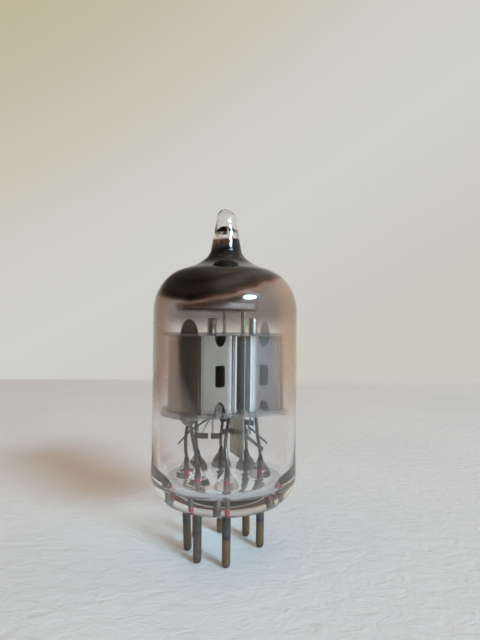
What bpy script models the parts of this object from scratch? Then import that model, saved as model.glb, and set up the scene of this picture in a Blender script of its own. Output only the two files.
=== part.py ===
"""Miniature seven-pin vacuum tube with a pressed glass stem, at real size.

Metres, +Z up. The origin is on the tube's axis at the pin tips, on which the tube stands.
-Y is the front. The glass bulb is fused to a pressed stem, which seven pins pass through.
Above the stem two mica discs carry two box-shaped anodes side by side, a shield plate between
them, a cathode sleeve with its heater in each anode, and a getter under the dome.
"""

import math

import bmesh
import bpy
from mathutils import Matrix, Vector

# Pins, on the standard circle of eight equal places with one left empty
PIN_COUNT = 7
PIN_PLACES = 8
PIN_CIRCLE_RADIUS = 0.0047625
EMPTY_PLACE_ANGLE = math.radians(51.4)
PIN_RADIUS = 0.000508
PIN_LENGTH = 0.0061
PIN_TIP_HEIGHT = 0.00062
PIN_IN_GLASS = 0.0003
PIN_TIP_TURN = math.radians(71)
BENT_PIN = 5
BENT_PIN_SHIFT = 0.00025

# Glass stem, a pressed button whose rim is fused to the bulb
STEM_THICKNESS = 0.0029
SEAM_INSET = 0.00139
STEM_EDGE_WIDTH = 0.00175
STEM_EDGE_HEIGHT = 0.0010
STEM_FILLET_WIDTH = 0.00155
STEM_FILLET_HEIGHT = 0.0019
STEM_RIM_FLAT = 0.00010
BEAD_RADIUS = 0.00140
BEAD_HEIGHT = 0.0028
BEAD_SHOULDER_RADIUS = 0.00112
BEAD_SHOULDER_HEIGHT = 0.0019
BEAD_TOP_WALL = 0.00012
BEAD_ROOT = 0.0004

# Wires sealed in the stem, and the inner leads above them
SEAL_WIRE_RADIUS = 0.00026
SEAL_WIRE_ABOVE_STEM = 0.0016
LEAD_RADIUS = 0.00022

# Each lead's bends above its bead, with the degrees round from its pin. The first is a share of the
# pin circle's radius, and the others are shares of how far the anodes reach from the axis
LEAD_BENDS = {
    1: ((0.977, 0.1), (0.602, 0.5), (0.559, 0.0)),
    2: ((1.002, 0.4), (0.643, 4.4)),
    3: ((1.004, 1.1), (0.658, -2.2), (0.654, -4.0)),
    4: ((1.028, 1.4), (0.685, 1.8), (0.669, 1.6)),
    5: ((1.027, 0.0), (0.675, 0.2), (0.620, 1.3)),
    6: ((1.023, -1.2), (0.731, -2.8)),
    7: ((0.971, -0.5), (0.550, -2.3)),
}

# Glass bulb; heights are above the stem's underside, above the upper mica or below the tip
BULB_RADIUS = 0.00914
BULB_WALL = 0.00094
SKIRT_FLARE = 0.00009
SKIRT_TOP_HEIGHT = 0.0077
SKIRT_MIDDLE_HEIGHT = 0.0041
SKIRT_TURN = math.radians(65)
LIP_WALL = 0.00015
THICK_WALL_HEIGHT = 0.0020
SHOULDER_ABOVE_MICA = 0.00263
DOME_RISE = 0.0133
SHOULDER_WIDTH = 0.00474
SHOULDER_RISE = 0.0056
SHOULDER_TURN = math.radians(75)
NECK_BELOW_TIP = 0.0052
NECK_RADIUS = 0.00195
NECK_SWEEP_BELOW_TIP = 0.0068
NECK_SWEEP_RADIUS = 0.0021
TIP_RADIUS = 0.0012
TIP_CROWN = 0.0012
NECK_BORE_RADIUS = 0.0015
NECK_BORE_BELOW_TIP = 0.0059
TIP_BORE_RADIUS = 0.0012
TIP_BORE_BELOW_TIP = 0.0041
TIP_BORE_CROWN = 0.0018

# Electrode assembly, turned about the tube's axis, with its shield plate a little off it
ELECTRODE_TURN = math.radians(21)
SHIELD_OFFSET = 0.00105
LOWER_MICA_ABOVE_STEM = 0.00872
MICA_THICKNESS = 0.00025
MICA_HALF_DEPTH = 0.0054
MICA_TEETH = 4
MICA_TOOTH_DEPTH = 0.0003
MICA_TOOTH_SPAN = math.radians(15)

# Anode, one folded sheet; its features across are shares of the way from the shield plate to its fold
ANODE_SHEET = 0.00015
ANODE_HEIGHT = 0.00925
ANODE_HALF_DEPTH = 0.0034
ANODE_CLEARANCE = 0.0010
ANODE_END_BULGE = 0.0009
GAP_SHARE = 0.152
RIB_SHARE = 0.086
WINDOW_CENTRE_SHARE = 0.54
WINDOW_SHARE = 0.228
NOTCH_SHARE = 0.266
TONGUE_CENTRE_SHARE = 0.328
TONGUE_SHARE = 0.145
RIB_HEIGHT = 0.00035
RIB_SLOPE = 0.00006
WINDOW_HEIGHT = 0.0026
WINDOW_CORNER = 0.00028
WINDOW_ABOVE_EDGE = 0.0031
NOTCH_DEPTH = 0.0013
TONGUE_DROP = 0.00135
END_TONGUE_WIDTH = 0.0021
END_TONGUE_RISE = 0.0020

# Shield plate between the anodes, with a tail below and two tabs above
SHIELD_SHEET = 0.00015
SHIELD_HALF_DEPTH = 0.0042
TAIL_FRONT = 0.0040
TAIL_BACK = 0.0005
TAIL_BELOW_MICA = 0.0055
TAB_CENTRE = 0.00345
TAB_WIDTH = 0.0011

# Cathode sleeves, and the heaters folded inside them
CATHODE_RADIUS = 0.00058
CATHODE_WALL = 0.0001
CATHODE_BELOW_MICA = 0.0010
CATHODE_ABOVE_MICA = 0.0019
HEATER_RADIUS = 0.00012
HEATER_LEG_SPREAD = 0.00021
HEATER_BELOW_SLEEVE_TOP = 0.0005
LEFT_LEG_ENDS = ((-0.00113, 0.0), (0.00022, 0.0))
RIGHT_LEG_ENDS = ((-0.00045, 0.0002), (0.0003, 0.0004))

# Strips welded below the lower mica; their heights are below the mica's underside
STRIP_THICKNESS = 0.0001
CATHODE_RIBBON_WIDTH = 0.0003
SHIELD_STRAP_WIDTH = 0.0005
HEATER_STRAP_WIDTH = 0.0007
LOW_STRAP_BELOW_MICA = 0.0031
HIGH_STRAP_BELOW_MICA = 0.0020
HEATER_END_BELOW_STRAP = 0.0004
HIGH_STRAP_LEADS = (2, 3)
STRAP_SHORT_END = 0.0002
STRAP_END = 0.0003
STRAP_LONG_END = 0.0008
STRAP_BEND = 0.0004
STRAP_TO_LEAD = 0.0006
LINK_REACH = 0.0011
LINK_CORNER = 0.0005
LINK_BEHIND_LEG = 0.0019
LINK_BEHIND_TAIL = 0.0016
RIBBON_SLANT = 0.3
RIBBON_FOOT = 0.0004
LEFT_RIBBON_REACH = ((0.0006, 0.0007), (-0.0009, -0.0010))
RIGHT_RIBBON_REACH = ((-0.00125, 0.0011), (0.0, 0.0), (0.00125, -0.0011))
SHIELD_STRAP_BELOW_MICA = 0.0023
SHIELD_STRAP_INSET = 0.0001
SHIELD_STRAP_WELD = 0.0007

# Getter under the dome, on a dished shield that the shield plate's tabs hold up
GETTER_SHIELD_X = -0.0011
GETTER_SHIELD_ABOVE_MICA = 0.00273
GETTER_SHIELD_RADIUS = 0.0053
GETTER_SHIELD_SHEET = 0.00015
GETTER_SHIELD_RIM = 0.0010
GETTER_RING_RADIUS = 0.0019
GETTER_RING_WIDTH = 0.0007
GETTER_RING_HEIGHT = 0.0005
GETTER_RING_WALL = 0.00012
GETTER_RING_LIFT = 0.0011
GETTER_STRAP_WIDTH = 0.0008
GETTER_STRAP_FOOT = 0.0012

# Clearances: wires in the glass, the two glass pieces, and metal or mica against its neighbour
GLASS_GAP = 0.00003
SEAM_GAP = 0.00005
SEAT_GAP = 0.00005

# Fineness of round forms, and the overshoot of what cuts through a piece
BULB_SEGMENTS = 36
BORE_SEGMENTS = 12
ARC_STEPS = 5
TONGUE_STEPS = 6
END_STEPS = 16
END_TONGUE_STEPS = 8
ROUTE_STEPS = 3
PIN_TIP_STEPS = 3
OVERSHOOT = 0.0003
MERGE_DISTANCE = 0.000002

STEM_BOTTOM_Z = PIN_LENGTH
STEM_TOP_Z = STEM_BOTTOM_Z + STEM_THICKNESS
STEM_RIM_Z = STEM_TOP_Z + STEM_FILLET_HEIGHT
BEAD_TOP_Z = STEM_TOP_Z + BEAD_HEIGHT
PIN_TOP_Z = STEM_BOTTOM_Z + PIN_IN_GLASS
SEAL_TOP_Z = STEM_TOP_Z + SEAL_WIRE_ABOVE_STEM
SEAM_RADIUS = BULB_RADIUS - SEAM_INSET
BULB_BORE = BULB_RADIUS - BULB_WALL
MICA_REACH = BULB_BORE - SEAT_GAP
LOWER_MICA_Z = STEM_TOP_Z + LOWER_MICA_ABOVE_STEM
ANODE_BOTTOM_Z = LOWER_MICA_Z + MICA_THICKNESS + SEAT_GAP
ANODE_TOP_Z = ANODE_BOTTOM_Z + ANODE_HEIGHT
UPPER_MICA_Z = ANODE_TOP_Z + SEAT_GAP
UPPER_MICA_TOP_Z = UPPER_MICA_Z + MICA_THICKNESS
SHOULDER_Z = UPPER_MICA_TOP_Z + SHOULDER_ABOVE_MICA
TIP_Z = SHOULDER_Z + DOME_RISE
ANODE_AXIS_REACH = BULB_BORE - ANODE_CLEARANCE
ANODE_FOLD = ANODE_AXIS_REACH - SHIELD_OFFSET - ANODE_END_BULGE
ANODE_GAP = GAP_SHARE * ANODE_FOLD
RIB_WIDTH = RIB_SHARE * ANODE_FOLD
WINDOW_CENTRE = WINDOW_CENTRE_SHARE * ANODE_FOLD
WINDOW_WIDTH = WINDOW_SHARE * ANODE_FOLD
NOTCH_WIDTH = NOTCH_SHARE * ANODE_FOLD
TONGUE_CENTRE = TONGUE_CENTRE_SHARE * ANODE_FOLD
TONGUE_WIDTH = TONGUE_SHARE * ANODE_FOLD
CATHODE_BOTTOM_Z = LOWER_MICA_Z - CATHODE_BELOW_MICA
CATHODE_TOP_Z = UPPER_MICA_TOP_Z + CATHODE_ABOVE_MICA
LEAD_TOP_Z = LOWER_MICA_Z - SEAT_GAP
GETTER_SHIELD_Z = UPPER_MICA_TOP_Z + GETTER_SHIELD_ABOVE_MICA
BESIDE_LEAD = LEAD_RADIUS + SEAT_GAP + STRIP_THICKNESS / 2.0
BESIDE_TONGUE = LEAD_RADIUS + SEAT_GAP + ANODE_SHEET / 2.0
BESIDE_HEATER = HEATER_RADIUS + SEAT_GAP + STRIP_THICKNESS / 2.0
QUARTER = math.pi / 2.0


def clear_scene():
    for item in list(bpy.data.objects):
        bpy.data.objects.remove(item, do_unlink=True)


def new_collection(name):
    collection = bpy.data.collections.new(name)
    bpy.context.scene.collection.children.link(collection)
    return collection


def finish(name, colour, metallic, roughness, transmission=0.0):
    """A plain material with the piece's colour."""
    material = bpy.data.materials.new(name)
    material.use_nodes = True
    material.diffuse_color = (*colour, 1.0)
    shader = material.node_tree.nodes["Principled BSDF"]
    shader.inputs["Base Color"].default_value = (*colour, 1.0)
    shader.inputs["Metallic"].default_value = metallic
    shader.inputs["Roughness"].default_value = roughness
    shader.inputs["Transmission Weight"].default_value = transmission
    return material


def add_object(name, data, material=None, parent=None):
    item = bpy.data.objects.new(name, data)
    PARTS.objects.link(item)
    if material:
        data.materials.append(material)
    item.parent = parent
    return item


def as_cutter(item):
    """Moves an object to the cutters, which show as wire and are no part of the tube."""
    PARTS.objects.unlink(item)
    CUTTERS.objects.link(item)
    item.hide_render = True
    item.display_type = "WIRE"
    return item


def combine(item, other, operation):
    modifier = item.modifiers.new(other.name, "BOOLEAN")
    modifier.operation = operation
    modifier.object = other
    modifier.solver = "EXACT"


def thicken(item, thickness, offset=0.0):
    modifier = item.modifiers.new("sheet", "SOLIDIFY")
    modifier.thickness = thickness
    modifier.offset = offset
    modifier.use_even_offset = True


def turned(name, profile, segments, material=None, parent=None):
    """Spins (radius, z) points, listed down the outer side first, about the object's Z axis."""
    mesh = bpy.data.meshes.new(name)
    edges = [(index, index + 1) for index in range(len(profile) - 1)]
    if profile[0][0] > MERGE_DISTANCE:
        edges.append((len(profile) - 1, 0))
    mesh.from_pydata([(radius, 0.0, z) for radius, z in profile], edges, [])
    item = add_object(name, mesh, material, parent)
    screw = item.modifiers.new("turn", "SCREW")
    screw.steps = segments
    screw.render_steps = segments
    screw.use_merge_vertices = True
    screw.merge_threshold = MERGE_DISTANCE
    screw.use_smooth_shade = True
    return item


def ellipse(centre, reach, rise, start, end, steps=ARC_STEPS):
    """Profile points on an ellipse about centre, from one angle to another."""
    angles = [start + (end - start) * step / steps for step in range(steps + 1)]
    return [(centre[0] + reach * math.cos(a), centre[1] + rise * math.sin(a)) for a in angles]


def sweep(start, control, end, steps=ARC_STEPS):
    """Profile points on a curve that bends once, towards control."""
    points = []
    for step in range(steps + 1):
        t = step / steps
        a, b, c = (1.0 - t) ** 2, 2.0 * t * (1.0 - t), t**2
        points.append((a * start[0] + b * control[0] + c * end[0],
                       a * start[1] + b * control[1] + c * end[1]))
    return points


def wire(name, points, radius, material, scales=None, roundness=2):
    """A round wire with filled ends; scales thin it towards an end."""
    curve = bpy.data.curves.new(name, "CURVE")
    curve.dimensions = "3D"
    curve.bevel_depth = radius
    curve.bevel_resolution = roundness
    curve.use_fill_caps = True
    spline = curve.splines.new("POLY")
    spline.points.add(len(points) - 1)
    for index, point in enumerate(points):
        spline.points[index].co = (*point, 1.0)
        spline.points[index].radius = scales[index] if scales else 1.0
    return add_object(name, curve, material)


def smooth_route(points, steps=ROUTE_STEPS):
    """Points along a smooth curve through a wire's own points."""
    route = []
    for index in range(len(points) - 1):
        start, end = points[index], points[index + 1]
        before = points[max(index - 1, 0)]
        after = points[min(index + 2, len(points) - 1)]
        for step in range(steps):
            t = step / steps
            shift = (end - before) * t
            shift += (before * 2.0 - start * 5.0 + end * 4.0 - after) * t**2
            shift += (start * 3.0 - end * 3.0 + after - before) * t**3
            route.append(start + shift / 2.0)
    return route + [points[-1]]


def ribbon(name, points, side, width, material):
    """A flat strip through the points; side is the direction of its width."""
    half = Vector(side).normalized() * width / 2.0
    vertices = [point + step for point in points for step in (-half, half)]
    faces = [(2 * i, 2 * i + 1, 2 * i + 3, 2 * i + 2) for i in range(len(points) - 1)]
    mesh = bpy.data.meshes.new(name)
    mesh.from_pydata(vertices, [], faces)
    item = add_object(name, mesh, material)
    thicken(item, STRIP_THICKNESS)
    return item


def box(name, low, high, material=None, parent=None):
    """A box between two corners, given in the parent's frame."""
    size = Vector(high) - Vector(low)
    middle = (Vector(high) + Vector(low)) / 2.0
    shape = bmesh.new()
    bmesh.ops.create_cube(shape, size=1.0, matrix=Matrix.LocRotScale(middle, None, size))
    mesh = bpy.data.meshes.new(name)
    shape.to_mesh(mesh)
    shape.free()
    return add_object(name, mesh, material, parent)


def in_tube(x, y, z=0.0):
    """A point of the electrode assembly's own frame in the tube's frame."""
    return Matrix.Rotation(ELECTRODE_TURN, 3, "Z") @ Vector((x, y, z))


def pin_place(number, z, radius=PIN_CIRCLE_RADIUS, turn=0.0):
    """A point on a pin's axis, or at another radius and turned; pin 1 is the first past the gap."""
    angle = EMPTY_PLACE_ANGLE + 2.0 * math.pi * number / PIN_PLACES + turn
    x = radius * math.sin(angle)
    y = -radius * math.cos(angle)
    return Vector((x, y, z))


def bulb_profile():
    """Outer side from the tip down to the lip, then the bore back up to the sealed tip."""
    shoulder_centre = (BULB_RADIUS - SHOULDER_WIDTH, SHOULDER_Z)
    shoulder = ellipse(shoulder_centre, SHOULDER_WIDTH, SHOULDER_RISE, SHOULDER_TURN, 0.0)
    neck = (NECK_RADIUS, TIP_Z - NECK_BELOW_TIP)
    neck_sweep = (NECK_SWEEP_RADIUS, TIP_Z - NECK_SWEEP_BELOW_TIP)
    skirt_radius = BULB_RADIUS + SKIRT_FLARE
    seam = SEAM_RADIUS + SEAM_GAP
    lip_z = STEM_BOTTOM_Z + STEM_EDGE_HEIGHT + SEAM_GAP
    skirt_z = STEM_BOTTOM_Z + SKIRT_MIDDLE_HEIGHT
    skirt_reach = (skirt_radius - seam - LIP_WALL) / (1.0 - math.cos(SKIRT_TURN))
    skirt_drop = (skirt_z - lip_z) / math.sin(SKIRT_TURN)

    profile = ellipse((0.0, TIP_Z - TIP_CROWN), TIP_RADIUS, TIP_CROWN, QUARTER, 0.0)
    profile += sweep(neck, neck_sweep, shoulder[0])
    profile += shoulder[1:]
    profile.append((BULB_RADIUS, STEM_BOTTOM_Z + SKIRT_TOP_HEIGHT))
    profile += ellipse((skirt_radius - skirt_reach, skirt_z), skirt_reach, skirt_drop, 0.0, -SKIRT_TURN)

    thick_top = (BULB_BORE, STEM_RIM_Z + THICK_WALL_HEIGHT)
    thick_middle = (BULB_BORE, STEM_RIM_Z + THICK_WALL_HEIGHT / 2.0)
    inner_shoulder = ellipse(shoulder_centre, SHOULDER_WIDTH - BULB_WALL,
                             SHOULDER_RISE - BULB_WALL, 0.0, SHOULDER_TURN)
    neck_wall = NECK_RADIUS - NECK_BORE_RADIUS
    bore_sweep = (NECK_SWEEP_RADIUS - neck_wall, neck_sweep[1] - BULB_WALL)
    neck_bore = (NECK_BORE_RADIUS, TIP_Z - NECK_BORE_BELOW_TIP)
    tip_bore_z = TIP_Z - TIP_BORE_BELOW_TIP
    profile.append((seam, lip_z))
    profile += sweep((seam, STEM_RIM_Z), thick_middle, thick_top, 3)
    profile += inner_shoulder
    profile += sweep(inner_shoulder[-1], bore_sweep, neck_bore)[1:]
    profile += ellipse((0.0, tip_bore_z), TIP_BORE_RADIUS, TIP_BORE_CROWN, 0.0, QUARTER, 4)
    return profile


def stem_profile():
    """Top face out to the rim fillet, then the rounded lower edge and the flat underside."""
    fillet = (SEAM_RADIUS - STEM_FILLET_WIDTH, STEM_RIM_Z)
    edge = (SEAM_RADIUS - STEM_EDGE_WIDTH, STEM_BOTTOM_Z + STEM_EDGE_HEIGHT)
    profile = [(0.0, STEM_TOP_Z)]
    profile += ellipse(fillet, STEM_FILLET_WIDTH - STEM_RIM_FLAT, STEM_FILLET_HEIGHT, -QUARTER, 0.0)
    profile.append((SEAM_RADIUS, STEM_RIM_Z))
    profile += ellipse(edge, STEM_EDGE_WIDTH, STEM_EDGE_HEIGHT, 0.0, -QUARTER)
    profile.append((0.0, STEM_BOTTOM_Z))
    return profile


def bead_profile():
    """The bell of glass that climbs each lead, rooted in the stem."""
    top = (LEAD_RADIUS + GLASS_GAP + BEAD_TOP_WALL, BEAD_TOP_Z)
    shoulder = (BEAD_SHOULDER_RADIUS, STEM_TOP_Z + BEAD_SHOULDER_HEIGHT)
    profile = [(0.0, BEAD_TOP_Z)]
    profile += sweep(top, shoulder, (BEAD_RADIUS, STEM_TOP_Z), 4)
    profile += [(BEAD_RADIUS, STEM_TOP_Z - BEAD_ROOT), (0.0, STEM_TOP_Z - BEAD_ROOT)]
    return profile


def bore_profile():
    """The stepped hole for a lead, its seal wire and the top of its pin."""
    steps = ((LEAD_RADIUS, BEAD_TOP_Z + OVERSHOOT, SEAL_TOP_Z + GLASS_GAP / 2.0),
             (SEAL_WIRE_RADIUS, SEAL_TOP_Z + GLASS_GAP / 2.0, PIN_TOP_Z + GLASS_GAP / 2.0),
             (PIN_RADIUS, PIN_TOP_Z + GLASS_GAP / 2.0, STEM_BOTTOM_Z - OVERSHOOT))
    profile = [(0.0, BEAD_TOP_Z + OVERSHOOT)]
    for radius, top, bottom in steps:
        profile += [(radius + GLASS_GAP, top), (radius + GLASS_GAP, bottom)]
    profile.append((0.0, STEM_BOTTOM_Z - OVERSHOOT))
    return profile


def make_glass():
    turned("glass_bulb", bulb_profile(), BULB_SEGMENTS, GLASS)
    stem = turned("glass_stem", stem_profile(), BULB_SEGMENTS, GLASS)
    for number in range(1, PIN_COUNT + 1):
        bead = as_cutter(turned(f"bead_{number}", bead_profile(), BORE_SEGMENTS))
        bead.location = pin_place(number, 0.0)
        combine(stem, bead, "UNION")
    for number in range(1, PIN_COUNT + 1):
        bore = as_cutter(turned(f"bore_{number}", bore_profile(), BORE_SEGMENTS))
        bore.location = pin_place(number, 0.0)
        bore.rotation_euler.z = math.pi / BORE_SEGMENTS
        combine(stem, bore, "DIFFERENCE")


def make_pins():
    """Pins with round tips; one of them is bent inwards below the glass."""
    for number in range(1, PIN_COUNT + 1):
        inwards = -pin_place(number, 0.0).normalized()
        shift = inwards * (BENT_PIN_SHIFT if number == BENT_PIN else 0.0)
        points = [pin_place(number, PIN_TOP_Z), pin_place(number, STEM_BOTTOM_Z),
                  pin_place(number, PIN_LENGTH / 2.0) + shift / 2.0]
        turns = [PIN_TIP_TURN * step / PIN_TIP_STEPS for step in range(PIN_TIP_STEPS + 1)]
        heights = [PIN_TIP_HEIGHT * (1.0 - math.sin(turn) / math.sin(PIN_TIP_TURN)) for turn in turns]
        points += [pin_place(number, height) + shift for height in heights]
        scales = [1.0, 1.0, 1.0] + [math.cos(turn) for turn in turns]
        wire(f"pin_{number}", points, PIN_RADIUS, PIN_METAL, scales, roundness=4)


def make_seal_wires():
    for number in range(1, PIN_COUNT + 1):
        low = pin_place(number, PIN_TOP_Z + GLASS_GAP)
        high = pin_place(number, SEAL_TOP_Z)
        wire(f"seal_wire_{number}", [low, high], SEAL_WIRE_RADIUS, SEAL_METAL)


def anode_reach(side):
    """How far an anode's end stands from the shield plate; side is -1 left, 1 right."""
    return ANODE_AXIS_REACH - side * SHIELD_OFFSET


def tongue_columns(centre, width, wall, drop, rise):
    """Columns over a rounded tongue, or over a notch where drop and rise are negative."""
    columns = []
    for step in range(TONGUE_STEPS + 1):
        angle = math.pi * step / TONGUE_STEPS
        x = -centre + width / 2.0 * math.cos(angle)
        columns.append((x, wall, drop * math.sin(angle), rise * math.sin(angle)))
    return columns


def rib_columns(centre, wall, proud):
    """Columns over an upright rib pressed into a wall."""
    half = RIB_WIDTH / 2.0
    return [(-centre + half + RIB_SLOPE, wall, 0.0, 0.0), (-centre + half, proud, 0.0, 0.0),
            (-centre - half, proud, 0.0, 0.0), (-centre - half - RIB_SLOPE, wall, 0.0, 0.0)]


def anode_wall(side, has_tongue):
    """Columns (x, y, drop, rise) along a flat wall, from the shield plate outwards."""
    wall = side * ANODE_HALF_DEPTH
    proud = side * (ANODE_HALF_DEPTH + RIB_HEIGHT)
    columns = rib_columns(ANODE_GAP + RIB_WIDTH / 2.0, wall, proud)[1:]
    if has_tongue:
        columns += tongue_columns(TONGUE_CENTRE, TONGUE_WIDTH, wall, TONGUE_DROP, 0.0)
    columns += tongue_columns(WINDOW_CENTRE, NOTCH_WIDTH, wall, -NOTCH_DEPTH, -NOTCH_DEPTH)
    columns += rib_columns(ANODE_FOLD, wall, proud)
    return columns


def end_arc(reach):
    """Radius of an anode's round end, and half the angle that it spans from fold to fold."""
    bulge = reach - ANODE_FOLD - RIB_WIDTH / 2.0 - RIB_SLOPE
    radius = (ANODE_HALF_DEPTH**2 + bulge**2) / (2.0 * bulge)
    return radius, math.atan2(ANODE_HALF_DEPTH, radius - bulge)


def end_places(reach, distances):
    """Plan points at distances along an anode's round end, from the front fold backwards."""
    radius, half_angle = end_arc(reach)
    angles = [half_angle - distance / radius for distance in distances]
    return [Vector((radius - reach - radius * math.cos(a), -radius * math.sin(a))) for a in angles]


def end_tongue_places(reach):
    """Plan points of the end tongue, closer at its two edges, from the fold round the corner."""
    angles = [math.pi * step / END_TONGUE_STEPS for step in range(END_TONGUE_STEPS + 1)]
    return end_places(reach, [END_TONGUE_WIDTH / 2.0 * (1.0 - math.cos(a)) for a in angles])


def anode_end(reach):
    """Columns round the end, whose front corner carries a tongue up and down."""
    columns = []
    for step, place in enumerate(end_tongue_places(reach)[1:], start=1):
        share = math.sin(math.pi * step / END_TONGUE_STEPS)
        columns.append((place.x, place.y, TONGUE_DROP * share, END_TONGUE_RISE * share))
    radius, half_angle = end_arc(reach)
    rest = 2.0 * half_angle * radius - END_TONGUE_WIDTH
    distances = [END_TONGUE_WIDTH + rest * step / END_STEPS for step in range(1, END_STEPS)]
    return columns + [(place.x, place.y, 0.0, 0.0) for place in end_places(reach, distances)]


def upright_sheet(name, columns, closed, thickness, material=None, parent=None):
    """A thin wall along columns (x, y, low, high)."""
    vertices = []
    for x, y, low, high in columns:
        vertices += [(x, y, low), (x, y, high)]
    count = len(columns)
    faces = []
    for index in range(count if closed else count - 1):
        after = (index + 1) % count
        faces.append((2 * index, 2 * after, 2 * after + 1, 2 * index + 1))
    mesh = bpy.data.meshes.new(name)
    mesh.from_pydata(vertices, [], faces)
    item = add_object(name, mesh, material, parent)
    thicken(item, thickness)
    return item


def place_by_side(item, side, z=0.0):
    """Sets an anode's frame: the left one as drawn, the right one turned half round."""
    item.location = (SHIELD_OFFSET, 0.0, z)
    item.rotation_euler = (0.0, 0.0, math.pi if side > 0 else 0.0)
    return item


def window_cutter(name, mount):
    """A round-cornered bar through both windows of an anode."""
    depth = ANODE_HALF_DEPTH + RIB_HEIGHT + OVERSHOOT
    low = (-WINDOW_CENTRE - WINDOW_WIDTH / 2.0, -depth, WINDOW_ABOVE_EDGE)
    high = (-WINDOW_CENTRE + WINDOW_WIDTH / 2.0, depth, WINDOW_ABOVE_EDGE + WINDOW_HEIGHT)
    cutter = box(name, low, high, parent=mount)
    shape = bmesh.new()
    shape.from_mesh(cutter.data)
    corners = [e for e in shape.edges if abs(e.verts[0].co.y - e.verts[1].co.y) > depth]
    bmesh.ops.bevel(shape, geom=corners, offset=WINDOW_CORNER, segments=3, profile=0.5, affect="EDGES")
    shape.to_mesh(cutter.data)
    shape.free()
    return as_cutter(cutter)


def make_anodes(mount):
    for name, side in (("left_anode", -1), ("right_anode", 1)):
        columns = anode_wall(-1, True) + anode_end(anode_reach(side)) + anode_wall(1, False)[::-1]
        heights = [(x, y, -drop, ANODE_HEIGHT + rise) for x, y, drop, rise in columns]
        anode = upright_sheet(name, heights, True, ANODE_SHEET, DARK_SHEET, mount)
        place_by_side(anode, side, ANODE_BOTTOM_Z)
        windows = window_cutter(f"{name}_windows", mount)
        place_by_side(windows, side, ANODE_BOTTOM_Z)
        combine(anode, windows, "DIFFERENCE")


def shield_outline():
    """The plate's outline across and up: tabs above, body between the micas, tail below."""
    tab_top = GETTER_SHIELD_Z - SEAT_GAP
    tail_z = LOWER_MICA_Z - TAIL_BELOW_MICA
    outline = []
    for centre in (-TAB_CENTRE, TAB_CENTRE):
        left, right = centre - TAB_WIDTH / 2.0, centre + TAB_WIDTH / 2.0
        outline += [(left, ANODE_TOP_Z), (left, tab_top), (right, tab_top), (right, ANODE_TOP_Z)]
    outline = [(-SHIELD_HALF_DEPTH, ANODE_TOP_Z)] + outline
    outline += [(SHIELD_HALF_DEPTH, ANODE_TOP_Z), (SHIELD_HALF_DEPTH, ANODE_BOTTOM_Z)]
    outline += [(TAIL_BACK, ANODE_BOTTOM_Z), (TAIL_BACK, tail_z)]
    outline += [(-TAIL_FRONT, tail_z), (-TAIL_FRONT, ANODE_BOTTOM_Z)]
    outline.append((-SHIELD_HALF_DEPTH, ANODE_BOTTOM_Z))
    return outline


def make_shield_plate(mount):
    outline = shield_outline()
    mesh = bpy.data.meshes.new("shield_plate")
    vertices = [(SHIELD_OFFSET, y, z) for y, z in outline]
    mesh.from_pydata(vertices, [], [tuple(range(len(outline)))])
    thicken(add_object("shield_plate", mesh, NICKEL, mount), SHIELD_SHEET)


def mica_outline():
    """A disc with straight front and back, and a few teeth at each end that touch the bulb."""
    limit = math.asin(MICA_HALF_DEPTH / MICA_REACH)
    half_end = [(MICA_REACH, limit), (MICA_REACH, (limit + MICA_TOOTH_SPAN) / 2.0)]
    teeth = []
    for index in range(2 * MICA_TEETH + 1):
        depth = MICA_TOOTH_DEPTH if index % 2 else 0.0
        angle = MICA_TOOTH_SPAN * (1.0 - index / MICA_TEETH)
        teeth.append((MICA_REACH - depth, angle))
    end = half_end + teeth + [(radius, -angle) for radius, angle in half_end[::-1]]
    turns = [(radius, -angle) for radius, angle in end]
    turns += [(radius, math.pi - angle) for radius, angle in end]
    return [(radius * math.cos(angle), radius * math.sin(angle)) for radius, angle in turns]


def slot(name, mount, low, high, mica_z):
    """An upright rectangular hole through a mica."""
    bottom, top = mica_z - OVERSHOOT, mica_z + MICA_THICKNESS + OVERSHOOT
    return as_cutter(box(name, (*low, bottom), (*high, top), parent=mount))


def cathode_hole(name, mount, side, mica_z):
    top, bottom = mica_z + MICA_THICKNESS + OVERSHOOT, mica_z - OVERSHOOT
    radius = CATHODE_RADIUS + SEAT_GAP
    profile = [(0.0, top), (radius, top), (radius, bottom), (0.0, bottom)]
    hole = as_cutter(turned(name, profile, BORE_SEGMENTS, parent=mount))
    hole.location = (SHIELD_OFFSET + side * WINDOW_CENTRE, 0.0, 0.0)
    return hole


def end_tongue_slot(name, mount, side, mica_z):
    """A curved hole through a mica for an anode's end tongue."""
    low, high = mica_z - OVERSHOOT, mica_z + MICA_THICKNESS + OVERSHOOT
    places = end_tongue_places(anode_reach(side))
    columns = [(x, y, low, high) for x, y in places]
    slot_width = ANODE_SHEET + 2.0 * SEAT_GAP
    return as_cutter(place_by_side(upright_sheet(name, columns, False, slot_width, parent=mount), side))


def inner_tongue_slot(name, mount, side, mica_z):
    half_width = TONGUE_WIDTH / 2.0 + SEAT_GAP
    half_sheet = ANODE_SHEET / 2.0 + SEAT_GAP
    low = (-TONGUE_CENTRE - half_width, -ANODE_HALF_DEPTH - half_sheet)
    high = (-TONGUE_CENTRE + half_width, -ANODE_HALF_DEPTH + half_sheet)
    return place_by_side(slot(name, mount, low, high, mica_z), side)


def shield_slot(name, mount, y_low, y_high, mica_z):
    half_sheet = SHIELD_SHEET / 2.0 + SEAT_GAP
    low = (SHIELD_OFFSET - half_sheet, y_low - SEAT_GAP)
    high = (SHIELD_OFFSET + half_sheet, y_high + SEAT_GAP)
    return slot(name, mount, low, high, mica_z)


def make_mica(name, mount, z, cutters):
    outline = mica_outline()
    mesh = bpy.data.meshes.new(name)
    mesh.from_pydata([(x, y, z) for x, y in outline], [], [tuple(range(len(outline)))])
    mica = add_object(name, mesh, MICA, mount)
    thicken(mica, MICA_THICKNESS, 1.0)
    for cutter in cutters:
        combine(mica, cutter, "DIFFERENCE")


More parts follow.
